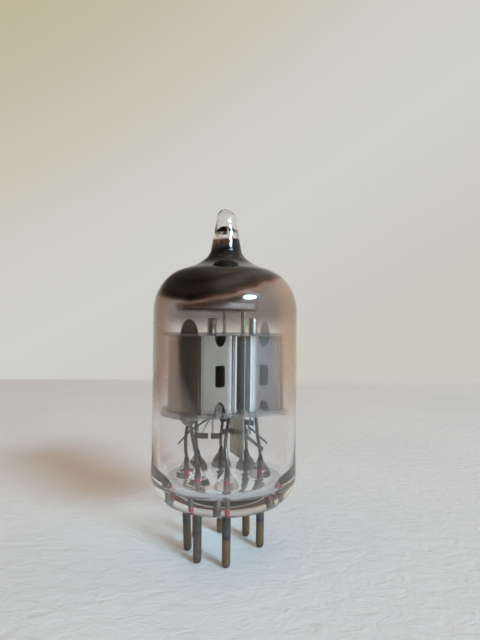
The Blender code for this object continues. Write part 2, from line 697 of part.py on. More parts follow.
def make_micas(mount):
    lower, upper = [], []
    for word, side in (("left", -1), ("right", 1)):
        for level, z, cutters in (("lower", LOWER_MICA_Z, lower), ("upper", UPPER_MICA_Z, upper)):
            cutters.append(cathode_hole(f"{level}_{word}_cathode_hole", mount, side, z))
            cutters.append(end_tongue_slot(f"{level}_{word}_end_slot", mount, side, z))
        lower.append(inner_tongue_slot(f"lower_{word}_tongue_slot", mount, side, LOWER_MICA_Z))
        tab = side * TAB_CENTRE
        tab_edges = (tab - TAB_WIDTH / 2.0, tab + TAB_WIDTH / 2.0)
        upper.append(shield_slot(f"upper_{word}_tab_slot", mount, *tab_edges, UPPER_MICA_Z))
    lower.append(shield_slot("tail_slot", mount, -TAIL_FRONT, TAIL_BACK, LOWER_MICA_Z))
    make_mica("lower_mica", mount, LOWER_MICA_Z, lower)
    make_mica("upper_mica", mount, UPPER_MICA_Z, upper)


def cathode_place(side, z):
    return in_tube(SHIELD_OFFSET + side * WINDOW_CENTRE, 0.0, z)


def make_cathodes(mount):
    bore = CATHODE_RADIUS - CATHODE_WALL
    profile = [(CATHODE_RADIUS, CATHODE_TOP_Z), (CATHODE_RADIUS, CATHODE_BOTTOM_Z),
               (bore, CATHODE_BOTTOM_Z), (bore, CATHODE_TOP_Z)]
    for name, side in (("left_cathode", -1), ("right_cathode", 1)):
        sleeve = turned(name, profile, BORE_SEGMENTS, NICKEL, mount)
        sleeve.location = (SHIELD_OFFSET + side * WINDOW_CENTRE, 0.0, 0.0)


def inner_tongue_weld(side, outwards):
    """Where a lead's end lies against an anode's inner tongue; outwards is 1 or -1."""
    x = side * TONGUE_CENTRE
    y = side * (ANODE_HALF_DEPTH + outwards * BESIDE_TONGUE)
    return in_tube(SHIELD_OFFSET + x, y, LEAD_TOP_Z)


def end_tongue_weld(side):
    """Where a lead's end lies against the inside of an anode's end tongue."""
    places = end_tongue_places(anode_reach(side))
    middle = places[END_TONGUE_STEPS // 2]
    along = (places[END_TONGUE_STEPS // 2 + 1] - places[END_TONGUE_STEPS // 2 - 1]).normalized()
    place = middle + Vector((-along.y, along.x)) * -BESIDE_TONGUE
    return in_tube(SHIELD_OFFSET - side * place.x, -side * place.y, LEAD_TOP_Z)


def lead_joints():
    """The points that each lead passes above its bead, from the bead up to its free end."""
    low = LOWER_MICA_Z - LOW_STRAP_BELOW_MICA
    high = LOWER_MICA_Z - HIGH_STRAP_BELOW_MICA
    first_bend = BEAD_TOP_Z + (low - BEAD_TOP_Z) / 3.0
    welds = {2: inner_tongue_weld(1, -1), 6: end_tongue_weld(-1), 7: inner_tongue_weld(-1, 1)}
    reaches = (PIN_CIRCLE_RADIUS, ANODE_AXIS_REACH, ANODE_AXIS_REACH)
    joints = {}
    for number, bends in LEAD_BENDS.items():
        heights = (first_bend, high if number in HIGH_STRAP_LEADS else low, LEAD_TOP_Z)
        joints[number] = [pin_place(number, z, share * reach, math.radians(turn))
                          for z, reach, (share, turn) in zip(heights, reaches, bends)]
        if number in welds:
            joints[number].append(welds[number])
    return joints


def make_leads():
    """Inner leads, straight inside the glass and bent above it."""
    for number, joints in lead_joints().items():
        foot = pin_place(number, SEAL_TOP_Z + GLASS_GAP)
        bead_top = pin_place(number, BEAD_TOP_Z)
        points = [foot] + smooth_route([bead_top] + joints)
        wire(f"lead_{number}", points, LEAD_RADIUS, NICKEL)


def heater_route(side, leg_ends):
    """A hairpin inside a sleeve whose two legs spread out below it."""
    top_z = CATHODE_TOP_Z - HEATER_BELOW_SLEEVE_TOP
    spread = Vector((HEATER_LEG_SPREAD, 0.0, 0.0))
    mouth_z = CATHODE_BOTTOM_Z - SEAT_GAP
    legs = []
    for sign, leg_end in zip((-1, 1), leg_ends):
        strap_top = leg_end + Vector((0.0, 0.0, HEATER_STRAP_WIDTH + HEATER_END_BELOW_STRAP))
        mouth = cathode_place(side, mouth_z) + spread * sign
        bend_top = cathode_place(side, top_z - HEATER_LEG_SPREAD) + spread * sign
        legs.append([leg_end, strap_top, mouth, bend_top])
    return legs[0] + [cathode_place(side, top_z)] + legs[1][::-1]


def heater_ends():
    """The free ends of the four heater legs."""
    low = LOWER_MICA_Z - LOW_STRAP_BELOW_MICA - HEATER_STRAP_WIDTH / 2.0 - HEATER_END_BELOW_STRAP
    high = low + LOW_STRAP_BELOW_MICA - HIGH_STRAP_BELOW_MICA
    left = [cathode_place(-1, low) + Vector((*shift, 0.0)) for shift in LEFT_LEG_ENDS]
    right = [cathode_place(1, z) + Vector((*shift, 0.0)) for z, shift in zip((low, high), RIGHT_LEG_ENDS)]
    return {-1: left, 1: right}


def make_heaters():
    for name, side in (("left_heater", -1), ("right_heater", 1)):
        wire(name, heater_route(side, heater_ends()[side]), HEATER_RADIUS, COATING)


def flat_route(points, z):
    return [Vector((x, y, z)) for x, y in points]


def make_heater_straps():
    """Three upright strips that put the two heaters in line between leads 4 and 3."""
    joints = lead_joints()
    ends = heater_ends()
    low = LOWER_MICA_Z - LOW_STRAP_BELOW_MICA
    high = LOWER_MICA_Z - HIGH_STRAP_BELOW_MICA
    upright = (0.0, 0.0, 1.0)

    first, second = ends[-1]
    front = first.y - BESIDE_HEATER
    lead = joints[4][1]
    beside = lead.x + BESIDE_LEAD
    route = [(first.x + STRAP_LONG_END, front), (first.x - STRAP_SHORT_END, front),
             (beside, front + STRAP_BEND), (beside, lead.y + STRAP_BEND)]
    ribbon("left_heater_strap", flat_route(route, low), upright, HEATER_STRAP_WIDTH, NICKEL)

    third, fourth = ends[1]
    back = third.y + BESIDE_HEATER
    turn = second.x + LINK_REACH
    tail = in_tube(SHIELD_OFFSET, TAIL_BACK)
    route = [(second.x - STRAP_SHORT_END, front), (second.x + STRAP_LONG_END, front),
             (turn, front + LINK_CORNER), (turn, second.y + LINK_BEHIND_LEG),
             (tail.x, tail.y + LINK_BEHIND_TAIL), (third.x - STRAP_TO_LEAD, back),
             (third.x + STRAP_END, back)]
    ribbon("heater_link", flat_route(route, low), upright, HEATER_STRAP_WIDTH, NICKEL)

    lead = joints[3][1]
    behind = fourth.y + BESIDE_HEATER
    route = [(fourth.x + STRAP_END, behind), (fourth.x - STRAP_END, behind),
             (lead.x + STRAP_TO_LEAD, lead.y - BESIDE_LEAD), (lead.x - STRAP_BEND, lead.y - BESIDE_LEAD)]
    ribbon("right_heater_strap", flat_route(route, high), upright, HEATER_STRAP_WIDTH, NICKEL)


def make_cathode_ribbons():
    """Thin ribbons from each sleeve's foot, past a lead and a little beyond it."""
    joints = lead_joints()
    foot_z = (CATHODE_BOTTOM_Z + LOWER_MICA_Z) / 2.0
    half = CATHODE_RIBBON_WIDTH / 2.0
    off_sleeve = CATHODE_RADIUS + SEAT_GAP + half

    foot = cathode_place(-1, foot_z)
    lead = joints[5][1]
    front = lead.y - LEAD_RADIUS - SEAT_GAP - half
    route = [foot + Vector((0.0, -off_sleeve, 0.0)),
             foot + Vector((-RIBBON_FOOT, -off_sleeve, -RIBBON_FOOT))]
    route += [Vector((lead.x + x, front, lead.z + z)) for x, z in LEFT_RIBBON_REACH]
    slant = (-RIBBON_SLANT, 1.0, RIBBON_SLANT)
    ribbon("left_cathode_ribbon", route, slant, CATHODE_RIBBON_WIDTH, NICKEL)

    foot = cathode_place(1, foot_z)
    lead = joints[1][1]
    front = lead.y - LEAD_RADIUS - SEAT_GAP - half
    route = [foot + Vector((0.0, -off_sleeve, 0.0))]
    route += [Vector((lead.x + x, front, lead.z + z)) for x, z in RIGHT_RIBBON_REACH]
    slant = (RIBBON_SLANT, 1.0, RIBBON_SLANT)
    ribbon("right_cathode_ribbon", route, slant, CATHODE_RIBBON_WIDTH, NICKEL)


def make_shield_strap():
    """The wider strip from the shield plate's tail to lead 1."""
    lead = lead_joints()[1][0]
    beside_tail = SHIELD_OFFSET + SHIELD_SHEET / 2.0 + SEAT_GAP + STRIP_THICKNESS / 2.0
    start_z = LOWER_MICA_Z - SHIELD_STRAP_BELOW_MICA
    start_y = -TAIL_FRONT + SHIELD_STRAP_INSET
    start = in_tube(beside_tail, start_y, start_z)
    leave = in_tube(beside_tail, start_y + SHIELD_STRAP_WELD, start_z)
    towards = (Vector((lead.x, lead.y, 0.0)) - Vector((leave.x, leave.y, 0.0))).normalized()
    past_lead = Vector((towards.y, -towards.x, 0.0)) * BESIDE_LEAD
    reach = Vector((lead.x, lead.y, lead.z)) + past_lead
    end = reach + towards * STRAP_END
    ribbon("shield_strap", [start, leave, reach, end], (0.0, 0.0, 1.0), SHIELD_STRAP_WIDTH, NICKEL)


def make_getter():
    """A dished shield on the plate's tabs, and on it a channel ring held by a bent strap."""
    low = GETTER_SHIELD_Z
    floor = low + GETTER_SHIELD_SHEET
    rim = low + GETTER_SHIELD_RIM
    inside = GETTER_SHIELD_RADIUS - GETTER_SHIELD_SHEET
    dish_profile = [(0.0, floor), (inside, floor), (inside, rim), (GETTER_SHIELD_RADIUS, rim),
                    (GETTER_SHIELD_RADIUS, low), (0.0, low)]
    dish = turned("getter_shield", dish_profile, BULB_SEGMENTS, GETTER_METAL)
    dish.location.x = GETTER_SHIELD_X

    outer = GETTER_RING_RADIUS + GETTER_RING_WIDTH / 2.0
    inner = GETTER_RING_RADIUS - GETTER_RING_WIDTH / 2.0
    base = floor + GETTER_RING_LIFT
    top = base + GETTER_RING_HEIGHT
    wall = GETTER_RING_WALL
    channel = [(outer, top), (outer, base), (inner, base), (inner, top), (inner + wall, top),
               (inner + wall, base + wall), (outer - wall, base + wall), (outer - wall, top)]
    ring = turned("getter_ring", channel, 2 * BORE_SEGMENTS, GETTER_METAL)
    ring.location.x = GETTER_SHIELD_X

    lift = SEAT_GAP + STRIP_THICKNESS / 2.0
    post_x = GETTER_SHIELD_X + outer + STRIP_THICKNESS
    route = [Vector((post_x + GETTER_STRAP_FOOT, 0.0, floor + lift)), Vector((post_x, 0.0, floor + lift)),
             Vector((post_x, 0.0, base - lift)), Vector((post_x - GETTER_RING_WIDTH, 0.0, base - lift))]
    ribbon("getter_strap", route, (0.0, 1.0, 0.0), GETTER_STRAP_WIDTH, NICKEL)


clear_scene()
PARTS = new_collection("vacuum_tube")
CUTTERS = new_collection("cutters")
GLASS = finish("clear_glass", (0.90, 0.93, 0.92), 0.0, 0.05, transmission=1.0)
PIN_METAL = finish("tarnished_pin", (0.24, 0.20, 0.15), 1.0, 0.45)
SEAL_METAL = finish("red_seal_wire", (0.55, 0.06, 0.05), 0.6, 0.4)
NICKEL = finish("nickel", (0.42, 0.40, 0.37), 1.0, 0.35)
DARK_SHEET = finish("dark_anode_sheet", (0.16, 0.15, 0.14), 0.7, 0.5)
MICA = finish("mica", (0.55, 0.47, 0.38), 0.0, 0.3, transmission=0.5)
COATING = finish("white_heater_coating", (0.80, 0.79, 0.76), 0.0, 0.9)
GETTER_METAL = finish("getter_metal", (0.12, 0.10, 0.09), 0.8, 0.4)

electrode_mount = add_object("electrode_mount", None)
electrode_mount.rotation_euler.z = ELECTRODE_TURN
make_glass()
make_pins()
make_seal_wires()
make_leads()
make_micas(electrode_mount)
make_anodes(electrode_mount)
make_shield_plate(electrode_mount)
make_cathodes(electrode_mount)
make_heaters()
make_heater_straps()
make_cathode_ribbons()
make_shield_strap()
make_getter()
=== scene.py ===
import math

import bmesh
import bpy
from mathutils import Matrix, Vector


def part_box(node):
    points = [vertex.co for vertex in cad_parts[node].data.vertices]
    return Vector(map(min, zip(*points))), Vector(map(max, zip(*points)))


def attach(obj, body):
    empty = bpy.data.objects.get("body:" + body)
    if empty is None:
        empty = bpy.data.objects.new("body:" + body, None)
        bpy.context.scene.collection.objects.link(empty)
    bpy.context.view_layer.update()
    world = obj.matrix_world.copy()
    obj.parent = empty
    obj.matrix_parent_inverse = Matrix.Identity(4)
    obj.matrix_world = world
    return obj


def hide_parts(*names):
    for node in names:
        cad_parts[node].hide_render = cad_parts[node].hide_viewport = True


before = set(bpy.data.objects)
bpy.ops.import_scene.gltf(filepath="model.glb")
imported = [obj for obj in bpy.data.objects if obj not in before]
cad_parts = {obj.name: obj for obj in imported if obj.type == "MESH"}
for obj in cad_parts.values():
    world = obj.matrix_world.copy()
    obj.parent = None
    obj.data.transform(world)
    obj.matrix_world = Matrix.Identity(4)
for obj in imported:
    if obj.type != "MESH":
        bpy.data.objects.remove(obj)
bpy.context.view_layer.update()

# Sizes in metres, the same as the part's, but for the stem's edge, the cavity's fillet and the tip's
# lean, which follow the photograph more closely
PIN_COUNT = 7
PIN_PLACES = 8
PIN_CIRCLE_RADIUS = 0.0047625
EMPTY_PLACE_ANGLE = math.radians(51.4)
PIN_RADIUS = 0.000508
PIN_TIP_HEIGHT = 0.00062
PIN_TIP_FLAT = 0.00012
BENT_PIN = 5
BENT_PIN_SHIFT = 0.00025
BENT_PIN_GROWTH = 1.15

STEM_THICKNESS = 0.0029
SEAM_RADIUS = 0.00775
SEAM_GROOVE = 0.00006
STEM_EDGE_WIDTH = 0.0024
STEM_EDGE_HEIGHT = 0.0010
STEM_EDGE_BULGE = (0.25, 0.52)
CAVITY_FILLET_RADIUS = 0.0068
CAVITY_FILLET_HEIGHT = 0.0026
BEAD_RADIUS = 0.00142
BEAD_HEIGHT = 0.00285
BEAD_WAIST_RADIUS = 0.00072
BEAD_WAIST_HEIGHT = 0.00172
BEAD_MOUTH_RADIUS = 0.00026
BEAD_FOOT_RADIUS = 0.00152
BEAD_FOOT_HEIGHT = 0.00012
BOSS_RADIUS = 0.00068
BOSS_HEIGHT = 0.00014
BOSS_FLARE = 0.00008
FIELD_INNER_RADIUS = 0.0029
FIELD_TOP_OUTER_RADIUS = 0.00645
FIELD_BELOW_OUTER_RADIUS = 0.0053

BULB_RADIUS = 0.00914
BULB_WALL = 0.00094
SKIRT_FLARE = 0.00009
SKIRT_TOP_HEIGHT = 0.0077
SKIRT_MIDDLE_HEIGHT = 0.0041
SKIRT_TURN = math.radians(65)
SHOULDER_BELOW_TIP = 0.0133
SHOULDER_WIDTH = 0.00474
SHOULDER_RISE = 0.0056
SHOULDER_TURN = math.radians(75)
NECK_BELOW_TIP = 0.0052
NECK_RADIUS = 0.00195
NECK_SWEEP_BELOW_TIP = 0.0068
NECK_SWEEP_RADIUS = 0.0021
TIP_RADIUS = 0.0012
TIP_CROWN = 0.0012
TIP_LEAN = 0.00016
NECK_BORE_RADIUS = 0.0015
NECK_BORE_BELOW_TIP = 0.0059
TIP_BORE_RADIUS = 0.0012
TIP_BORE_BELOW_TIP = 0.0041
TIP_BORE_CROWN = 0.0018

FILM_DEPTH = 0.00003
FILM_THICKNESS = 0.00001
FILM_BOTTOM_Z = 0.0150
FILM_EDGE_Z = 0.0313
FILM_EDGE_RISE = 0.0040
FILM_EDGE_BELOW = 0.0009
FILM_EDGE_ABOVE = 0.0006
FILM_DRIFT = 0.0016
FILM_BANDS_RISE = 0.0055
FILM_TOP_Z = 0.0396
FILM_TOP_FADE = (-0.0001, 0.0004)
RESIDUE_Z = (0.0403, 0.0405)
RESIDUE_X = (0.0002, -0.0002)
NECK_STAIN_BELOW_TOP = (0.0018, 0.0010)
NECK_STAIN_X = (0.0010, 0.0002)
SIDE_HAZE_Z = (0.0160, 0.0250)
UPPER_HAZE_Z = (0.0270, 0.0305)
UPPER_HAZE_Y = (-0.002, 0.003)

ELECTRODE_TURN = math.radians(21)
SHIELD_OFFSET = 0.00105
ANODE_SHEET = 0.00015
ANODE_HALF_DEPTH = 0.0034
ANODE_AXIS_REACH = 0.0072
ANODE_FOLD = 0.00525
ANODE_GAP = 0.0008
RIB_REACH = 0.000279
RIB_WIDTH = 0.00045
RIB_HEIGHT = 0.00035
RIB_FULLNESS = 0.8
WINDOW_CENTRE = 0.00284
WINDOW_WIDTH = 0.0012
WINDOW_HEIGHT = 0.0026
WINDOW_CORNER = 0.00028
WINDOW_ABOVE_EDGE = 0.0031
NOTCH_WIDTH = 0.0014
NOTCH_DEPTH = 0.0013
TONGUE_CENTRE = 0.00172
TONGUE_WIDTH = 0.00076
TONGUE_DROP = 0.00135
END_TONGUE_WIDTH = 0.0021
END_TONGUE_RISE = 0.0020
SHEET_EDGE_ROUND = 0.00003
STRIP_EDGE_ROUND = 0.00002
SHEET_TO_MICA = 0.00005

CATHODE_RADIUS = 0.00058
CATHODE_WALL = 0.0001

GETTER_SHIELD_X = -0.0011
GETTER_SHIELD_RADIUS = 0.0053
GETTER_SHIELD_SHEET = 0.00015
GETTER_SHIELD_RIM = 0.0010
GETTER_SHIELD_TURN = 0.00035
GETTER_RING_RADIUS = 0.0019
GETTER_RING_WIDTH = 0.0007
GETTER_RING_WALL = 0.00012
GETTER_FILL = 0.00012
GETTER_FILL_CROWN = 0.00005

# Camera, solved from the photograph, and the room around the tube with its one window
CAMERA_PLACE = (0.00188, -0.06174, 0.02872)
CAMERA_PITCH = 0.0089
CAMERA_ROLL = 0.0106
CAMERA_LENS = 27.0
FLOOR_BACK = 0.188
FLOOR_BACK_FADE = (-0.035, 0.010)
FLOOR_REACH = 0.9
WALL_YAW = math.radians(5)
WINDOW_AZIMUTH = math.radians(42.3)
WINDOW_ELEVATION = math.radians(29.3)
WINDOW_DISTANCE = 1.2
WINDOW_SIZE = (0.42, 0.18)
WINDOW_POWER = 15.4
WINDOW_COLOUR = (0.49, 0.79, 1.0)
WINDOW_AIM_Z = 0.022
DARK_AZIMUTH = math.radians(-22)
DARK_SPREAD = math.radians(41)
DARK_SOFTNESS = math.radians(18)
DARK_DISTANCE = (-0.080, -0.090)
DARK_TONE = (0.07, 0.060, 0.050)

# Finishes. Colours are linear red, green and blue, and a pair is where a change starts and where it is
# full. X, Y and Z are places on the tube, the heights of the base's painted shade bands are above the stem's
# underside, those of the painted glow and of the bells' painted shade above its top, and the lumps' above the
# shoulder
GLASS_IOR = 1.49
BASE_PAINTED_BANDS_HEIGHT = 0.0050
BASE_PAINTED_BANDS_FADE = (0.0036, 0.0060)
BASE_PAINTED_GLOW_FADE = (0.0032, 0.0012)
WALL_TINT = (0.945, 0.930, 0.928)
BASE_PAINTED_GLOW = (0.0165, 0.0150, 0.0145)
BELL_PAINTED_SHADE_FRONT = (0.78, 0.76, 0.73)
BELL_PAINTED_SHADE_BACK = (0.040, 0.030, 0.022)
BELL_PAINTED_SHADE_Y = (-0.0022, 0.0008)
BELL_FOOT_FADE = (0.00004, 0.0003)
BELL_MOUTH_FADE = 0.0001
TIP_LUMPS = 26.0
TIP_LUMPS_FADE = (0.0060, 0.0070)
# The anodes' painted sheen near the gap beside the shield
PAINTED_SHEEN_TONE = (0.80, 0.75, 0.71)
PAINTED_SHEEN_FROM_SHIELD = (0.0021, 0.0011)
DISH_TONE_SHIFT = 0.001
PIN_STAIN_TOP_Z = 0.0068
PIN_GREY_X = (-0.0008, -0.0022)
# Painted shade on the seal wires: grey bands up the bead, browner at the back
SEAL_PAINTED_SHADE_Z = (0.0064, 0.0109)
SEAL_PAINTED_SHADE_Y = (0.0015, 0.0030)

# How finely curves and round pieces are divided
AROUND = 128
AROUND_PIN = 24
AROUND_SLEEVE = 32
AROUND_RING = 96
ARC_SEGMENTS = AROUND // PIN_PLACES
SIDE_SEGMENTS = 10
PIN_STEPS = 10
FILM_STEPS = 24
CURVE_STEPS = 14
FINE_STEPS = 10
TONGUE_STEPS = 20
END_STEPS = 40
WELD_DISTANCE = 0.0000005
QUARTER = math.pi / 2.0

# Heights that follow from the frame
STEM_BOTTOM_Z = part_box("glass_stem")[0].z
TIP_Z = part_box("glass_bulb")[1].z
STEM_TOP_Z = STEM_BOTTOM_Z + STEM_THICKNESS
CAVITY_RIM_Z = STEM_TOP_Z + CAVITY_FILLET_HEIGHT
PIN_TOP_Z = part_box("pin_1")[1].z
SHOULDER_Z = TIP_Z - SHOULDER_BELOW_TIP
BULB_BORE = BULB_RADIUS - BULB_WALL
ANODE_BOTTOM_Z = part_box("lower_mica")[1].z + SHEET_TO_MICA
ANODE_TOP_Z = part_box("upper_mica")[0].z - SHEET_TO_MICA
ANODE_HEIGHT = ANODE_TOP_Z - ANODE_BOTTOM_Z


def ellipse(centre, reach, rise, start, end, steps=CURVE_STEPS):
    """Profile points on an ellipse about centre, from one angle to another."""
    angles = [start + (end - start) * step / steps for step in range(steps + 1)]
    return [(centre[0] + reach * math.cos(a), centre[1] + rise * math.sin(a)) for a in angles]


def sweep(start, control, end, steps=CURVE_STEPS):
    """Profile points on a curve that bends once, towards control."""
    points = []
    for step in range(steps + 1):
        t = step / steps
        a, b, c = (1.0 - t) ** 2, 2.0 * t * (1.0 - t), t**2
        points.append((a * start[0] + b * control[0] + c * end[0],
                       a * start[1] + b * control[1] + c * end[1]))
    return points


def polar(radius, angle, z=0.0):
    """A point at an angle from the front, which grows towards +X."""
    return Vector((radius * math.sin(angle), -radius * math.cos(angle), z))


def pin_place(number, z):
    """A point on the pin circle; the empty place has number 0."""
    return polar(PIN_CIRCLE_RADIUS, EMPTY_PLACE_ANGLE + math.tau * number / PIN_PLACES, z)


class Shape:
    """Vertices and faces gathered from several forms that share their edges."""

    def __init__(self):
        self.vertices = []
        self.faces = []

    def grid(self, rows, closed_across=True, closed_along=False):
        """Faces between neighbouring rows of points; a row of one point is a pole."""
        starts = []
        for row in rows:
            starts.append(len(self.vertices))
            self.vertices += row
        pairs = list(zip(range(len(rows)), range(1, len(rows))))
        if closed_along:
            pairs.append((len(rows) - 1, 0))
        for first, second in pairs:
            count = max(len(rows[first]), len(rows[second]))
            for index in range(count if closed_across else count - 1):
                after = (index + 1) % count
                face = []
                for row, offset in ((first, index), (first, after), (second, after), (second, index)):
                    corner = starts[row] + (offset if len(rows[row]) > 1 else 0)
                    if corner not in face:
                        face.append(corner)
                self.faces.append(face)

    def turned(self, profile, segments=AROUND, x=0.0, closed=False):
        """A profile of (radius, z) turned about the upright line through x."""
        start = EMPTY_PLACE_ANGLE - math.pi / PIN_PLACES
        rows = []
        for radius, z in profile:
            if radius < WELD_DISTANCE:
                rows.append([Vector((x, 0.0, z))])
                continue
            rows.append([polar(radius, start + math.tau * i / segments, z) + Vector((x, 0.0, 0.0))
                         for i in range(segments)])
        self.grid(rows, closed_along=closed)

    def mesh(self, name, inwards=False, smooth_angle=math.radians(40)):
        """A welded mesh with its faces outwards, or inwards for the wall of a cavity."""
        shape = bmesh.new()
        points = [shape.verts.new(vertex) for vertex in self.vertices]
        for face in self.faces:
            shape.faces.new([points[corner] for corner in face])
        bmesh.ops.remove_doubles(shape, verts=shape.verts, dist=WELD_DISTANCE)
        bmesh.ops.recalc_face_normals(shape, faces=shape.faces)
        if inwards:
            bmesh.ops.reverse_faces(shape, faces=shape.faces)
        made = bpy.data.meshes.new(name)
        shape.to_mesh(made)
        shape.free()
        smooth(made, smooth_angle)
        return made


def smooth(mesh, angle):
    """Shades a mesh smoothly, but for edges sharper than an angle."""
    for polygon in mesh.polygons:
        polygon.use_smooth = True
    mesh.set_sharp_from_angle(angle=angle)


def piece(name, mesh, material, replaced=()):
    """A visible piece of the tube that rides on its one body."""
    item = bpy.data.objects.new(name, mesh)
    bpy.context.scene.collection.objects.link(item)
    mesh.materials.clear()
    mesh.materials.append(material)
    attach(item, "root")
    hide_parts(*replaced)
    return item


# Finishes


class Look:
    """A material, or the room, while its nodes are laid.

    place is in metres on the tube, or a way out from it in the room, and x, y and z are its parts.
    """

    def __init__(self, owner, place="Object"):
        owner.use_nodes = True
        self.owner = owner
        self.tree = owner.node_tree
        coordinates = self.node("ShaderNodeTexCoord").outputs
        self.place = coordinates[place]
        self.normal = coordinates["Normal"]
        self.x, self.y, self.z = self.node("ShaderNodeSeparateXYZ", Vector=self.place).outputs

    def feed(self, made, **inputs):
        """Gives inputs values or other nodes' outputs; _ stands for a space, and i1 for the second input."""
        for name, value in inputs.items():
            numbered = name[0] == "i" and name[1:].isdigit()
            socket = made.inputs[int(name[1:]) if numbered else name.replace("_", " ")]
            if isinstance(value, bpy.types.NodeSocket):
                self.tree.links.new(value, socket)
            else:
                socket.default_value = (*value, 1.0) if socket.type == "RGBA" else value

    def node(self, kind, settings=None, **inputs):
        made = self.tree.nodes.new(kind)
        for name, value in (settings or {}).items():
            setattr(made, name, value)
        self.feed(made, **inputs)
        return made

    def finish(self, **inputs):
        """The finished material, once its shader's inputs are fed."""
        self.feed(self.tree.nodes["Principled BSDF"], **inputs)
        return self.owner

    def ramp(self, factor, stops):
        """A colour ramp; a stop is (share, grey) or (share, (r, g, b))."""
        made = self.node("ShaderNodeValToRGB", Fac=factor)
        elements = made.color_ramp.elements
        while len(elements) < len(stops):
            elements.new(0.5)
        for element, (share, colour) in zip(elements, stops):
            element.position = share
            rgb = (colour, colour, colour) if isinstance(colour, float) else colour
            element.color = (*rgb, 1.0)
        return made.outputs["Color"]

    def math(self, operation, first, second=0.0, third=0.0):
        made = self.node("ShaderNodeMath", {"operation": operation}, i0=first, i1=second, i2=third)
        return made.outputs[0]

    def times(self, first, second, plus=0.0):
        return self.math("MULTIPLY_ADD", first, second, plus)

    def share(self, value, low, high):
        """0 at low, 1 at high, in a straight line."""
        return self.node("ShaderNodeMapRange", Value=value, From_Min=low, From_Max=high).outputs["Result"]

    def span(self, value, low, high):
        """0 at low, 1 at high, with a soft start and end."""
        made = self.node("ShaderNodeMapRange", {"interpolation_type": "SMOOTHSTEP"}, Value=value,
                         From_Min=low, From_Max=high)
        return made.outputs["Result"]

    def vector(self, operation, first, second=(0.0, 0.0, 0.0)):
        return self.node("ShaderNodeVectorMath", {"operation": operation}, i0=first, i1=second).outputs

    def dot(self, first, second):
        return self.vector("DOT_PRODUCT", first, second)["Value"]

    def stretched(self, place, x=1.0, y=1.0, z=1.0):
        return self.node("ShaderNodeMapping", Vector=place, Scale=(x, y, z)).outputs["Vector"]

    def noise(self, place, scale, detail=3.0, roughness=0.55, distortion=0.0):
        made = self.node("ShaderNodeTexNoise", Vector=place, Scale=scale, Detail=detail,
                         Roughness=roughness, Distortion=distortion)
        return made.outputs["Fac"]

    def bump(self, height, distance, strength):
        made = self.node("ShaderNodeBump", Height=height, Distance=distance, Strength=strength)
        return made.outputs["Normal"]

    def mixed(self, factor, first, second, blend="MIX"):
        made = self.node("ShaderNodeMix", {"data_type": "RGBA", "blend_type": blend}, i0=factor,
                         i6=first, i7=second)
        return made.outputs[2]

    def light(self, kind):
        return self.node("ShaderNodeLightPath").outputs[kind]


def new_look(name):
    return Look(bpy.data.materials.new(name))


def dark_side(look, way):
    """How far a way from the tube leads to the dark front left, and whether it is seen in a mirror."""
    level = look.vector("NORMALIZE", look.stretched(way, z=0.0))["Vector"]
    towards = look.dot(level, polar(1.0, DARK_AZIMUTH))
    share = look.span(towards, math.cos(DARK_SPREAD + DARK_SOFTNESS), math.cos(DARK_SPREAD))
    return share, look.math("GREATER_THAN", look.light("Glossy Depth"), 0.5)


